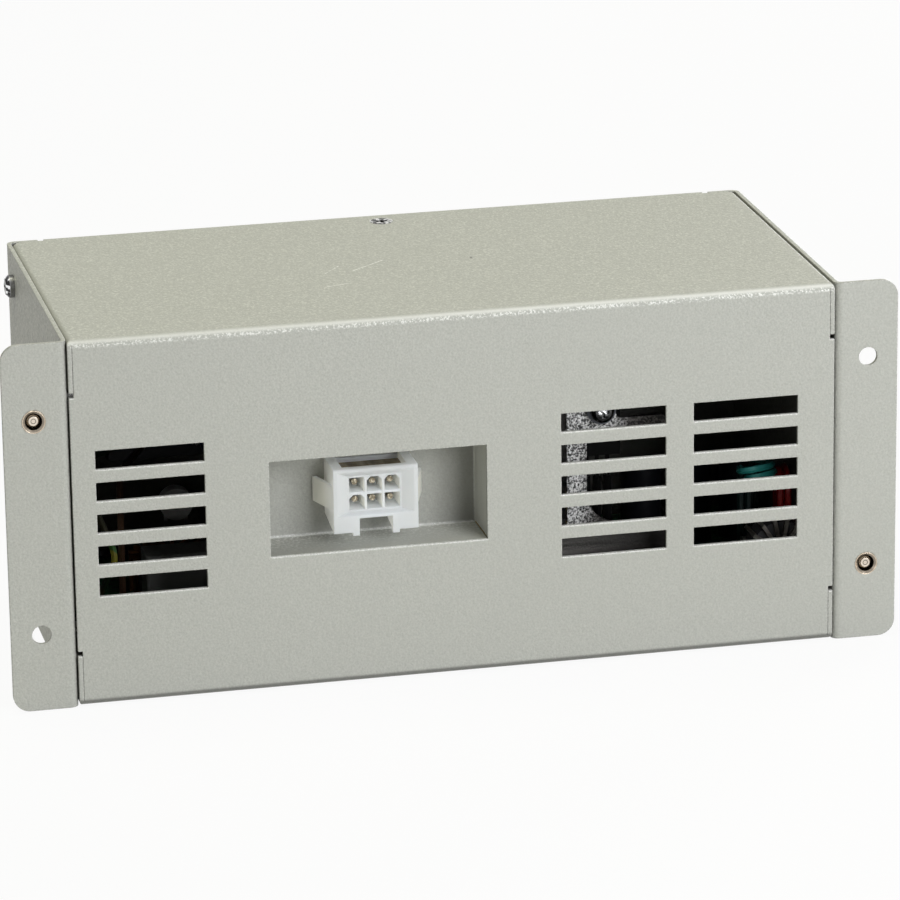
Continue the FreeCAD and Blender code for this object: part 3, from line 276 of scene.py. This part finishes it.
    def principled(self, color, rough, metallic=0.0, normal=None, specular=0.5):
        node = self.add("ShaderNodeBsdfPrincipled")
        self.put(color, node.inputs["Base Color"])
        self.put(rough, node.inputs["Roughness"])
        self.put(metallic, node.inputs["Metallic"])
        self.put(specular, node.inputs["Specular IOR Level"])
        if normal is not None:
            self.link(normal, node.inputs["Normal"])
        self.link(node.outputs["BSDF"], self.out.inputs["Surface"])
        return node


def shade(color, factor):
    return tuple(min(1.0, c * factor) for c in color)


def painted_edge_highlights(t, fine, soft):
    """How strong the painted highlight on the coat's bends, cut edges and slot sills is, from 0 to 1."""
    x, y, z = t.axes()
    aside, ahead, rise = t.facing()
    outward = t.spread(ahead, -0.05, -0.2, 0, 1)
    low_bend = t.times(t.band(rise, 0.04, 0.75, 0.2), outward, t.spread(fine, 0.48, 0.62, 0.0, 1.0))
    high_bend = t.times(t.band(rise, 0.45, 0.99, 0.22), outward)
    bend = t.most(t.times(low_bend, 0.6), t.times(high_bend, 0.45))
    # painted highlight, stronger towards the right
    bend = t.times(bend, t.spread(x, -INSIDE_X, INSIDE_X, 0.95, 1.4))
    cut = t.times(t.edges(soft, 0.85, 0.995), t.spread(fine, 0.45, 0.62, 0.1, 1.0))
    tilt = t.split(t.soft_edge(0.0007))[2]
    lip = t.times(t.spread(tilt, 0.08, 0.3, 0, 1), t.below(ahead, -0.9))
    sill = t.most(t.times(t.above(rise, 0.9), t.below(y, FRONT + 1.1 * SHEET)), lip)
    sill = t.times(sill, t.below(z, 0.9 * HEIGHT), t.below(t.size(x), INSIDE_X))
    sill = t.times(sill, t.spread(fine, 0.4, 0.6, 0.5, 1.0))
    return t.most(bend, t.times(cut, 0.5), sill)


def scratches(t):
    """How far the coat is scratched through, from 0 to 1, one value for each scratch."""
    top = t.above(t.facing()[2], 0.99)
    gaps = t.spread(t.noise(700, 2.0, 0.6), 0.38, 0.55, 0, 1)
    return [t.times(t.spread(t.near_line(*ends), 0.0001, 0.00022, 0.8, 0), gaps, top) for ends in SCRATCHES]


def tray_shade(t, body, color):
    """Painted light and shade in the pocket: a painted shadow in the right corner, a painted lit patch and
    painted sparkle on the floor, and painted light on the side walls.
    """
    x, y, z = t.axes()
    aside, ahead, rise = t.facing()
    back = t.spread(ahead, -0.8, -0.95, 0, 1)
    body = t.mix(t.times(back, t.spread(x, -0.004, POCKET_RIGHT, 0.25, 0.75)), body, shade(color, 0.4))
    base = t.spread(rise, 0.8, 0.95, 0, 1)
    body = t.mix(t.times(base, t.spread(x, -0.03, 0.0, 0.1, 0.7)), body, shade(color, 1.5))
    sparks = t.times(base, t.spread(t.noise(1300, 2.0, 0.6), 0.5, 0.66, 0, 1))
    body = t.mix(t.times(sparks, t.spread(y, FRONT + 0.003, POCKET_BACK, 0.05, 0.7)), body, SPARK)
    return t.mix(t.spread(t.size(aside), 0.8, 0.95, 0, 0.5), body, shade(color, 1.4))


def powder_coat(name, color, shaded_inside=False, grainy=None, marks=False, tray=False, sheen=0.25):
    """Fine textured powder coat with painted highlights and sparkle on bends, cut edges and sills, painted
    shade under downward bends, and, where asked, painted shade on the inside of the box.
    """
    t = Tree(name)
    aside, ahead, rise = t.facing()
    fine = t.noise(2100, 2.0, 0.6)
    pebble = t.noise(900, 2.0, 0.5)
    cloud = t.noise(14, 2.0, 0.5)
    soft = t.soft_edge(0.0004)
    body = t.mix(t.spread(fine, 0.3, 0.7, 0, 1), shade(color, 0.9), shade(color, 1.1))
    body = t.mix(t.spread(cloud, 0.3, 0.7, 0, 0.3), body, shade(color, 0.97))
    grains = t.spread(t.noise(1500, 3.0, 0.65), 0.38, 0.62, 0, 1)
    where = t.spread(t.size(aside), 0.6, 0.9, 0, 0.8) if grainy is None else grainy
    body = t.mix(t.times(grains, where), body, shade(color, 0.52))
    if shaded_inside:
        flecks = t.spread(t.noise(1900, 2.0, 0.6), 0.48, 0.7, 0, 1)
        body = t.mix(t.times(flecks, t.spread(rise, 0.9, 0.99, 0, 0.85)), body, shade(color, 1.45))
    # painted shade under bends that face down
    under_shade = t.times(t.band(rise, -0.98, -0.1, 0.3), 0.75)
    body = t.mix(under_shade, body, shade(color, 0.25))
    light = painted_edge_highlights(t, fine, soft)
    if marks:
        light = t.most(light, *scratches(t))
    # scratches through the coat, and painted highlights on bends, edges and sills
    body = t.mix(light, body, WORN_AND_HIGHLIGHT)
    if marks:
        speck = t.times(t.spread(t.near_line(*SPECK), 0.00018, 0.00034, 0.8, 0), t.above(rise, 0.99))
        body = t.mix(speck, body, shade(color, 0.3))
    if tray:
        body = tray_shade(t, body, color)
    # painted shade on the faces inside the closed box
    if shaded_inside:
        body = t.mix(t.inside(), body, INSIDE_SHADE)
    normal = t.bump(pebble, 0.30, 0.0004, soft)
    normal = t.bump(fine, 0.45, 0.0002, normal)
    t.principled(body, t.spread(fine, 0.3, 0.7, 0.36, 0.56), normal=normal, specular=sheen)
    return t.material


def metal(name, color, rough=0.3, stretch=None, scale=600, wear=0.12, edge=0.0, bump=0.1):
    """Plated or bare metal with fine streaks or speckle."""
    t = Tree(name)
    grain = t.noise(scale, 4.0, 0.6, stretch)
    cloud = t.noise(160, 2.0, 0.5)
    body = t.mix(t.spread(grain, 0.3, 0.7, 0, 1), shade(color, 1 - wear), shade(color, 1 + wear))
    normal = t.soft_edge(edge) if edge else None
    normal = t.bump(grain, bump, 0.0001, normal)
    t.principled(body, t.spread(cloud, 0.3, 0.7, rough * 0.75, rough * 1.3), 1.0, normal)
    return t.material


def painted_reflection_plate(name, color):
    """Bright plating with painted reflections: a dark head face with painted glints, a painted bright dome
    and a grey flank.
    """
    t = Tree(name)
    grain = t.noise(900, 3.0, 0.6)
    out = t.size(t.facing()[0])
    glints = t.spread(t.noise(900, 1.0, 0.4), 0.52, 0.6, 1, 0.1)
    face = t.times(t.spread(out, 0.45, 0.6, 0, 1), glints)
    body = t.mix(t.spread(out, 0.05, 0.3, 0, 1), shade(color, 0.35), shade(color, 1.2))
    body = t.mix(face, body, shade(color, 0.04))
    normal = t.bump(grain, 0.12, 0.0001, t.soft_edge(0.0002))
    t.principled(body, t.spread(grain, 0.3, 0.7, 0.12, 0.24), 1.0, normal)
    return t.material


def recessed_screw(name):
    """Plated head with a painted dark reflection and painted glints in and around its recess."""
    t = Tree(name)
    glint = t.noise(900, 2.0, 0.5)
    body = t.mix(t.spread(glint, 0.5, 0.62, 0, 1), (0.05, 0.05, 0.05), (0.85, 0.85, 0.84))
    normal = t.bump(glint, 0.3, 0.0003)
    t.principled(body, t.spread(glint, 0.3, 0.7, 0.5, 0.25), 0.6, normal, specular=0.2)
    return t.material


def pitted(name, color):
    """Rough bare metal skin with painted shade that darkens it to the right: pits and bright grains, but
    streaked low down.
    """
    t = Tree(name)
    grain = t.noise(2100, 4.0, 0.65)
    streak = t.noise(420, 3.0, 0.6, (0.06, 1.0, 1.0))
    x, y, z = t.axes()
    speckle = t.spread(grain, 0.44, 0.58, 0, 1)
    rough = t.mix(speckle, shade(color, 0.06), shade(color, 1.2))
    # painted shade: the skin and the low plate turn dark towards the right
    far = t.mix(speckle, (0.008, 0.007, 0.006), (0.07, 0.062, 0.055))
    past = t.less(x, t.spread(z, *SKIN_STEP, *SKIN_ENDS))
    rough = t.mix(t.spread(past, 0, 0.005, 0, 0.94), rough, far)
    plain = t.mix(t.spread(streak, 0.35, 0.65, 0, 1), (0.04, 0.038, 0.034), (0.18, 0.172, 0.158))
    plain = t.mix(t.spread(x, *PLATE_FADE, 0, 0.85), plain, (0.025, 0.023, 0.021))
    body = t.mix(t.spread(z, PLATE_TOP - 0.0015, PLATE_TOP, 1, 0), rough, plain)
    t.principled(body, t.spread(grain, 0.3, 0.7, 0.6, 0.35), 0.6, t.bump(grain, 0.5, 0.0003))
    return t.material


def plastic(name, color, rough=0.4, scale=900, wear=0.1, bump=0.08, specular=0.5, shade_with_depth=False, shaded_below=None):
    """Moulded plastic, dipped or wrapped skin with a little unevenness, with painted shade that darkens it
    with depth where asked, and painted dark as shade below a given height.
    """
    t = Tree(name)
    grain = t.noise(scale, 3.0, 0.55)
    cloud = t.noise(90, 2.0, 0.5)
    body = t.mix(t.spread(cloud, 0.3, 0.7, 0, 1), shade(color, 1 - wear), shade(color, 1 + wear))
    # painted shade: darker with depth behind the front
    if shade_with_depth:
        body = t.depth_shade(body)
    # painted shade below the given height
    if shaded_below is not None:
        x, y, z = t.axes()
        body = t.mix(t.spread(z, shaded_below - 0.001, shaded_below + 0.001, 0.85, 0), body, GLOOM)
    gloss = t.spread(grain, 0.3, 0.7, rough * 0.85, rough * 1.15)
    t.principled(body, gloss, normal=t.bump(grain, bump, 0.0001), specular=specular)
    return t.material


def turned(name, color, centres, shade_rings, back=0.0, dark=0.08):
    """Turned metal with dark rings painted as shade about each centre (x, z), in front of a plane."""
    t = Tree(name)
    grain = t.noise(900, 3.0, 0.6)
    x, y, z = t.axes()
    away = t.round_about(centres[0])
    for centre in centres[1:]:
        away = t.least(away, t.round_about(centre))
    body = t.mix(t.spread(grain, 0.3, 0.7, 0, 1), shade(color, 0.88), shade(color, 1.12))
    for radius, width in shade_rings:
        ring = t.times(t.band(away, radius - width, radius + width, 0.6 * width), 0.9, t.below(y, back))
        body = t.mix(ring, body, shade(color, dark))
    normal = t.bump(grain, 0.12, 0.0001, t.soft_edge(0.0001))
    t.principled(body, t.spread(grain, 0.3, 0.7, 0.16, 0.3), 1.0, normal)
    return t.material


def contact_metal(name):
    """Plated contact, dark with painted glints."""
    t = Tree(name)
    glint = t.noise(1500, 2.0, 0.6)
    body = t.mix(t.spread(glint, 0.5, 0.66, 0, 1), (0.2, 0.17, 0.12), (0.85, 0.78, 0.6))
    t.principled(body, t.spread(glint, 0.3, 0.7, 0.45, 0.2), 0.9, t.bump(glint, 0.4, 0.0003))
    return t.material


def nylon(name):
    """Natural nylon that light goes into and through, with painted ivory light on its sides and painted
    shade, dark and streaked, in the recess on top.
    """
    t = Tree(name)
    cloud = t.noise(260, 2.0, 0.5)
    grain = t.noise(1200, 2.0, 0.5)
    x, y, z = t.axes()
    aside, ahead, rise = t.facing()
    body = t.mix(t.spread(cloud, 0.3, 0.7, 0, 1), (0.955, 0.98, 0.996), (0.97, 0.988, 1.0))
    # painted ivory light on the sides
    body = t.mix(t.spread(t.size(aside), 0.6, 0.9, 0, 1), body, (0.985, 0.975, 0.92))
    streak = t.noise(240, 3.0, 0.6, (1.0, 0.12, 1.0))
    # painted shade, dark and streaked, in the recess on top
    recess_shade = t.mix(t.spread(streak, 0.35, 0.65, 0, 1), (0.13, 0.1, 0.06), (0.52, 0.43, 0.29))
    recess = t.times(t.spread(z, RECESS_LOW, RECESS_LOW + 0.0003, 0, 1), t.below(z, RECESS_HIGH))
    body = t.mix(t.times(t.above(rise, 0.5), recess), body, recess_shade)
    normal = t.bump(cloud, 0.1, 0.0005, t.soft_edge(0.0004))
    node = t.principled(body, t.spread(grain, 0.3, 0.7, 0.28, 0.4), normal=normal)
    node.inputs["Subsurface Weight"].default_value = 0.15
    node.inputs["Subsurface Radius"].default_value = (0.9, 1.0, 1.0)
    node.inputs["Subsurface Scale"].default_value = 0.003
    through = t.add("ShaderNodeBsdfTranslucent")
    t.put(body, through.inputs["Color"])
    both = t.add("ShaderNodeMixShader")
    both.inputs["Fac"].default_value = 0.5
    t.link(node.outputs["BSDF"], both.inputs[1])
    t.link(through.outputs["BSDF"], both.inputs[2])
    t.link(both.outputs["Shader"], t.out.inputs["Surface"])
    return t.material


def circuit(name):
    """Solder mask with darker track areas."""
    t = Tree(name)
    brick = t.add("ShaderNodeTexBrick")
    brick.inputs["Scale"].default_value = 90
    brick.inputs["Mortar Size"].default_value = 0.06
    brick.inputs["Color1"].default_value = (0.018, 0.09, 0.03, 1)
    brick.inputs["Color2"].default_value = (0.022, 0.12, 0.045, 1)
    brick.inputs["Mortar"].default_value = (0.03, 0.17, 0.06, 1)
    t.link(t.coord.outputs["Object"], brick.inputs["Vector"])
    grain = t.noise(700, 3.0, 0.6)
    body = t.mix(t.spread(grain, 0.35, 0.65, 0, 0.4), brick.outputs["Color"], (0.03, 0.14, 0.05))
    t.principled(body, 0.35, normal=t.bump(grain, 0.06, 0.0001))
    return t.material


def striped(name, a, b):
    """Insulation with a spiral of two colours, darker with depth and painted dark as shade outside the height
    of one vent slot.
    """
    t = Tree(name)
    wave = t.add("ShaderNodeTexWave", wave_type="BANDS", bands_direction="DIAGONAL")
    wave.inputs["Scale"].default_value = 60
    wave.inputs["Distortion"].default_value = 0.4
    t.link(t.coord.outputs["Object"], wave.inputs["Vector"])
    grain = t.noise(900, 2.0, 0.5)
    x, y, z = t.axes()
    body = t.mix(t.spread(wave.outputs["Fac"], 0.45, 0.55, 0, 1), a, b)
    lit = t.band(z, *EARTH_LIT, 0.0015)
    # painted shade outside the band and with depth
    body = t.mix(t.spread(lit, 0, 1, 0.9, 0), t.depth_shade(body), GLOOM)
    t.principled(body, t.spread(grain, 0.3, 0.7, 0.32, 0.42))
    return t.material


def clear_glass(name):
    """Clear tube glass with faint draw lines."""
    t = Tree(name)
    lines = t.noise(500, 2.0, 0.5, (0.05, 1.0, 1.0))
    node = t.principled((0.95, 0.97, 0.97), 0.05, normal=t.bump(lines, 0.05, 0.0001))
    node.inputs["Transmission Weight"].default_value = 0.9
    node.inputs["IOR"].default_value = 1.48
    return t.material


zinc = metal("zinc_plate", (0.66, 0.66, 0.64), 0.2, scale=900, wear=0.2, edge=0.0002, bump=0.2)
spring_wire = metal("spring_wire", (0.5, 0.5, 0.52), 0.28)
tinned_brass = metal("tinned_brass", (0.7, 0.68, 0.62), 0.3)
moulding = plastic("black_moulding", (0.022, 0.022, 0.024), 0.45)
ferrite = plastic("ferrite", (0.05, 0.05, 0.053), 0.6, wear=0.2)
can_sleeve = plastic("can_sleeve", (0.006, 0.006, 0.008), 0.4, specular=0.2)

looks = {
    # Sheet metal
    "front_wrap_cover": powder_coat("cover_coat", COAT, shaded_inside=True, marks=True),
    "rear_chassis": powder_coat("chassis_coat", COAT, shaded_inside=True),
    "connector_pocket": powder_coat("pocket_coat", COAT, grainy=0.1, tray=True, sheen=0.3),
    # Fixings
    "side_screws": painted_reflection_plate("zinc_painted_reflection", (0.8, 0.8, 0.8)),
    "cover_screws": recessed_screw("zinc_painted_glints"),
    "board_standoffs": zinc,
    "bracket_screw": turned("zinc_painted_rings", (0.75, 0.75, 0.75), [DIODE_SCREW], HEAD_RINGS, dark=0.05),
    "bracket_washer": plastic("dark_washer", (0.07, 0.075, 0.09), 0.4),
    "bracket_nut": zinc,
    "inlet_screws": zinc,
    "inlet_nuts": zinc,
    "earth_stud": zinc,
    "earth_nut": zinc,
    "screw_ferrules": turned("ferrule_plate", (0.64, 0.55, 0.44), list(CAPTIVE.values()), FERRULE_RINGS,
                             dark=0.35),
    "left_captive_screw": turned("left_tip", TIP, [CAPTIVE["left"]], TIP_RINGS, TIP_BACK),
    "right_captive_screw": turned("right_tip", TIP, [CAPTIVE["right"]], TIP_RINGS, TIP_BACK),
    "left_screw_spring": spring_wire,
    "right_screw_spring": spring_wire,
    # Connector and inlet
    "connector_housing": nylon("natural_nylon"),
    "connector_contacts": contact_metal("contact_plate"),
    "mains_inlet": moulding,
    "inlet_blades": tinned_brass,
    # Board and what it carries
    "circuit_board": circuit("solder_mask"),
    "diode_bracket": pitted("bare_casting", (0.6, 0.6, 0.59)),
    "bracket_pad": plastic("fibre_pad", (0.006, 0.006, 0.006), 0.6, specular=0.15),
    "isolation_diode": plastic("diode_moulding", (0.002, 0.002, 0.002), 0.6, specular=0.05),
    "diode_sleeves": plastic("sleeve_insulation", (0.002, 0.002, 0.002), 0.6, specular=0.05),
    "switch_heatsink": metal("bare_aluminium", (0.55, 0.56, 0.57), 0.42, scale=1100, wear=0.25),
    "switch_transistor": moulding,
    "control_chip": moulding,
    "bridge_rectifier": moulding,
    "transformer_core": ferrite,
    "transformer_bobbin": plastic("bobbin", (0.05, 0.04, 0.035), 0.5),
    "transformer_winding": plastic("winding_tape", (0.5, 0.34, 0.06), 0.35),
    "output_choke_core": ferrite,
    "output_choke_winding": metal("pale_enamel", (0.5, 0.47, 0.42), 0.35),
    "line_choke_core": ferrite,
    "line_choke_winding": metal("copper_enamel", (0.4, 0.18, 0.08), 0.35),
    "bulk_capacitor": can_sleeve,
    "output_capacitors": can_sleeve,
    "line_capacitor": plastic("film_box", (0.22, 0.22, 0.21), 0.4),
    "inrush_thermistor": plastic("dipped_grey", (0.8, 0.8, 0.79), 0.5, shaded_below=THERMISTOR_LOW),
    "fuse_glass": clear_glass("tube_glass"),
    "fuse_caps": metal("nickel_plate", (0.74, 0.68, 0.58), 0.2, wear=0.1, edge=0.0002),
    "fuse_clips": tinned_brass,
    # Leads
    "line_lead": plastic("brown_insulation", (0.16, 0.08, 0.04), 0.35, shade_with_depth=True),
    "neutral_lead": plastic("blue_insulation", (0.03, 0.1, 0.36), 0.35, shade_with_depth=True),
    "earth_lead": striped("green_yellow_insulation", (0.1, 0.36, 0.05), (0.6, 0.54, 0.05)),
    "earth_terminal": tinned_brass,
    "black_leads": plastic("black_insulation", (0.02, 0.02, 0.02), 0.35, shade_with_depth=True),
    "teal_leads": plastic("teal_insulation", (0.012, 0.15, 0.135), 0.4, shade_with_depth=True, shaded_below=TEAL_LOW),
    "red_leads": plastic("red_insulation", (0.6, 0.02, 0.02), 0.3, shade_with_depth=True),
}
for name, node in nodes.items():
    node.data.materials.clear()
    node.data.materials.append(looks[name])


# Springs of the captive screws

def coil_spring(name, x, z):
    """Round-wire spring with closed ends, along Y between the ferrule and the knob."""
    wire, radius, turns, closed, steps, sides = 0.000225, 0.002325, 5, 0.6, 32, 10
    rise = SPRING_TO - SPRING_FROM - 2 * wire
    verts, faces = [], []
    for i in range(turns * steps + 1):
        done = i / steps
        y = SPRING_FROM + wire + rise * min(max((done - closed) / (turns - 2 * closed), 0.0), 1.0)
        around = 2 * math.pi * done
        for k in range(sides):
            turn = 2 * math.pi * k / sides
            r = radius + wire * math.cos(turn)
            verts.append((x + r * math.cos(around), y + wire * math.sin(turn), z + r * math.sin(around)))
    for i in range(turns * steps):
        for k in range(sides):
            a, b = i * sides + k, i * sides + (k + 1) % sides
            faces.append((a, b, b + sides, a + sides))
    last = turns * steps * sides
    faces.append(tuple(range(sides - 1, -1, -1)))
    faces.append(tuple(range(last, last + sides)))
    mesh = bpy.data.meshes.new(name)
    mesh.from_pydata(verts, [], faces)
    mesh.shade_smooth()
    piece = bpy.data.objects.new(name, mesh)
    scene.collection.objects.link(piece)
    mesh.materials.append(spring_wire)
    return piece


for side, (axis_x, axis_z) in CAPTIVE.items():
    spring = coil_spring(side + "_coil", axis_x, axis_z)
    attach(spring, side + "_spring")
    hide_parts(side + "_screw_spring")
    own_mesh(spring)


# Stage

def seen_rays(tree):
    """1 for the rays by which the stage is seen: straight, in a reflection or through glass."""
    path = tree.nodes.new("ShaderNodeLightPath")
    total = path.outputs["Is Camera Ray"]
    for key in ("Is Glossy Ray", "Is Transmission Ray"):
        node = tree.nodes.new("ShaderNodeMath")
        node.operation = "MAXIMUM"
        tree.links.new(total, node.inputs[0])
        tree.links.new(path.outputs[key], node.inputs[1])
        total = node.outputs["Value"]
    return total


def white_floor(name, color):
    """Pale floor that is seen as white, with the object's shadow left on it."""
    t = Tree(name)
    plain = t.add("ShaderNodeBsdfDiffuse")
    t.put(color, plain.inputs["Color"])
    white = t.add("ShaderNodeEmission")
    t.put(WHITE, white.inputs["Color"])
    t.put(1.0, white.inputs["Strength"])
    choice = t.add("ShaderNodeMixShader")
    t.link(t.times(seen_rays(t.tree), 0.92), choice.inputs["Fac"])
    t.link(plain.outputs["BSDF"], choice.inputs[1])
    t.link(white.outputs["Emission"], choice.inputs[2])
    t.link(choice.outputs["Shader"], t.out.inputs["Surface"])
    return t.material


def white_world(name, color, strength):
    """Weak even light, seen as white."""
    world = bpy.data.worlds.new(name)
    world.use_nodes = True
    tree = world.node_tree
    tree.nodes.clear()
    out = tree.nodes.new("ShaderNodeOutputWorld")
    soft = tree.nodes.new("ShaderNodeBackground")
    soft.inputs["Color"].default_value = (*color, 1.0)
    soft.inputs["Strength"].default_value = strength
    white = tree.nodes.new("ShaderNodeBackground")
    white.inputs["Color"].default_value = (*WHITE, 1.0)
    choice = tree.nodes.new("ShaderNodeMixShader")
    tree.links.new(seen_rays(tree), choice.inputs["Fac"])
    tree.links.new(soft.outputs["Background"], choice.inputs[1])
    tree.links.new(white.outputs["Background"], choice.inputs[2])
    tree.links.new(choice.outputs["Shader"], out.inputs["Surface"])
    return world


def softbox(name, place, target, size, power, color):
    """Area light aimed at a point."""
    data = bpy.data.lights.new(name, "AREA")
    data.shape = "RECTANGLE"
    data.size, data.size_y = size
    data.energy = power
    data.color = color
    light = bpy.data.objects.new(name, data)
    scene.collection.objects.link(light)
    light.location = place
    light.rotation_euler = (Vector(target) - Vector(place)).to_track_quat("-Z", "Y").to_euler()


bpy.ops.mesh.primitive_plane_add(size=6.0, location=(0, 0, -0.0002))
floor = bpy.context.object
floor.name = "floor"
floor.data.materials.append(white_floor("floor_white", (0.85, 0.85, 0.85)))

scene.world = white_world("studio", (0.96, 0.97, 1.0), 0.05)

MIDDLE = (0, 0, 0.045)
softbox("key_box", (0.5, -1.05, 0.45), MIDDLE, (0.7, 0.7), 11.6, (0.95, 0.965, 1.0))
softbox("top_box", (-0.35, 0.1, 1.4), (0, 0, 0.05), (1.0, 0.8), 10.3, (1.0, 1.0, 0.78))
softbox("left_box", (-0.8, -1.3, 0.35), MIDDLE, (0.7, 0.7), 1.2, WHITE)
softbox("rear_box", (1.1, 1.2, 0.45), MIDDLE, (0.7, 0.7), 14.0, (1.0, 1.0, 0.97))


# Camera, fitted to points of the photo

right = Vector((0.97521213, -0.22086816, -0.01336271))
up = Vector((0.07927273, 0.29235919, 0.95301728))
back = Vector((-0.20658446, -0.93045331, 0.30262105))
turn = Matrix((right, up, back)).transposed()
place = Vector((-0.259297, -1.158666 + FRONT, 0.431863))
camera_data = bpy.data.cameras.new("camera")
camera_data.sensor_width = 36.0
camera_data.lens = 214.966
camera_data.clip_end = 50
camera_data.dof.use_dof = False
camera = bpy.data.objects.new("camera", camera_data)
scene.collection.objects.link(camera)
camera.matrix_world = Matrix.Translation(place) @ turn.to_4x4()
scene.camera = camera
scene.view_settings.view_transform = "Standard"
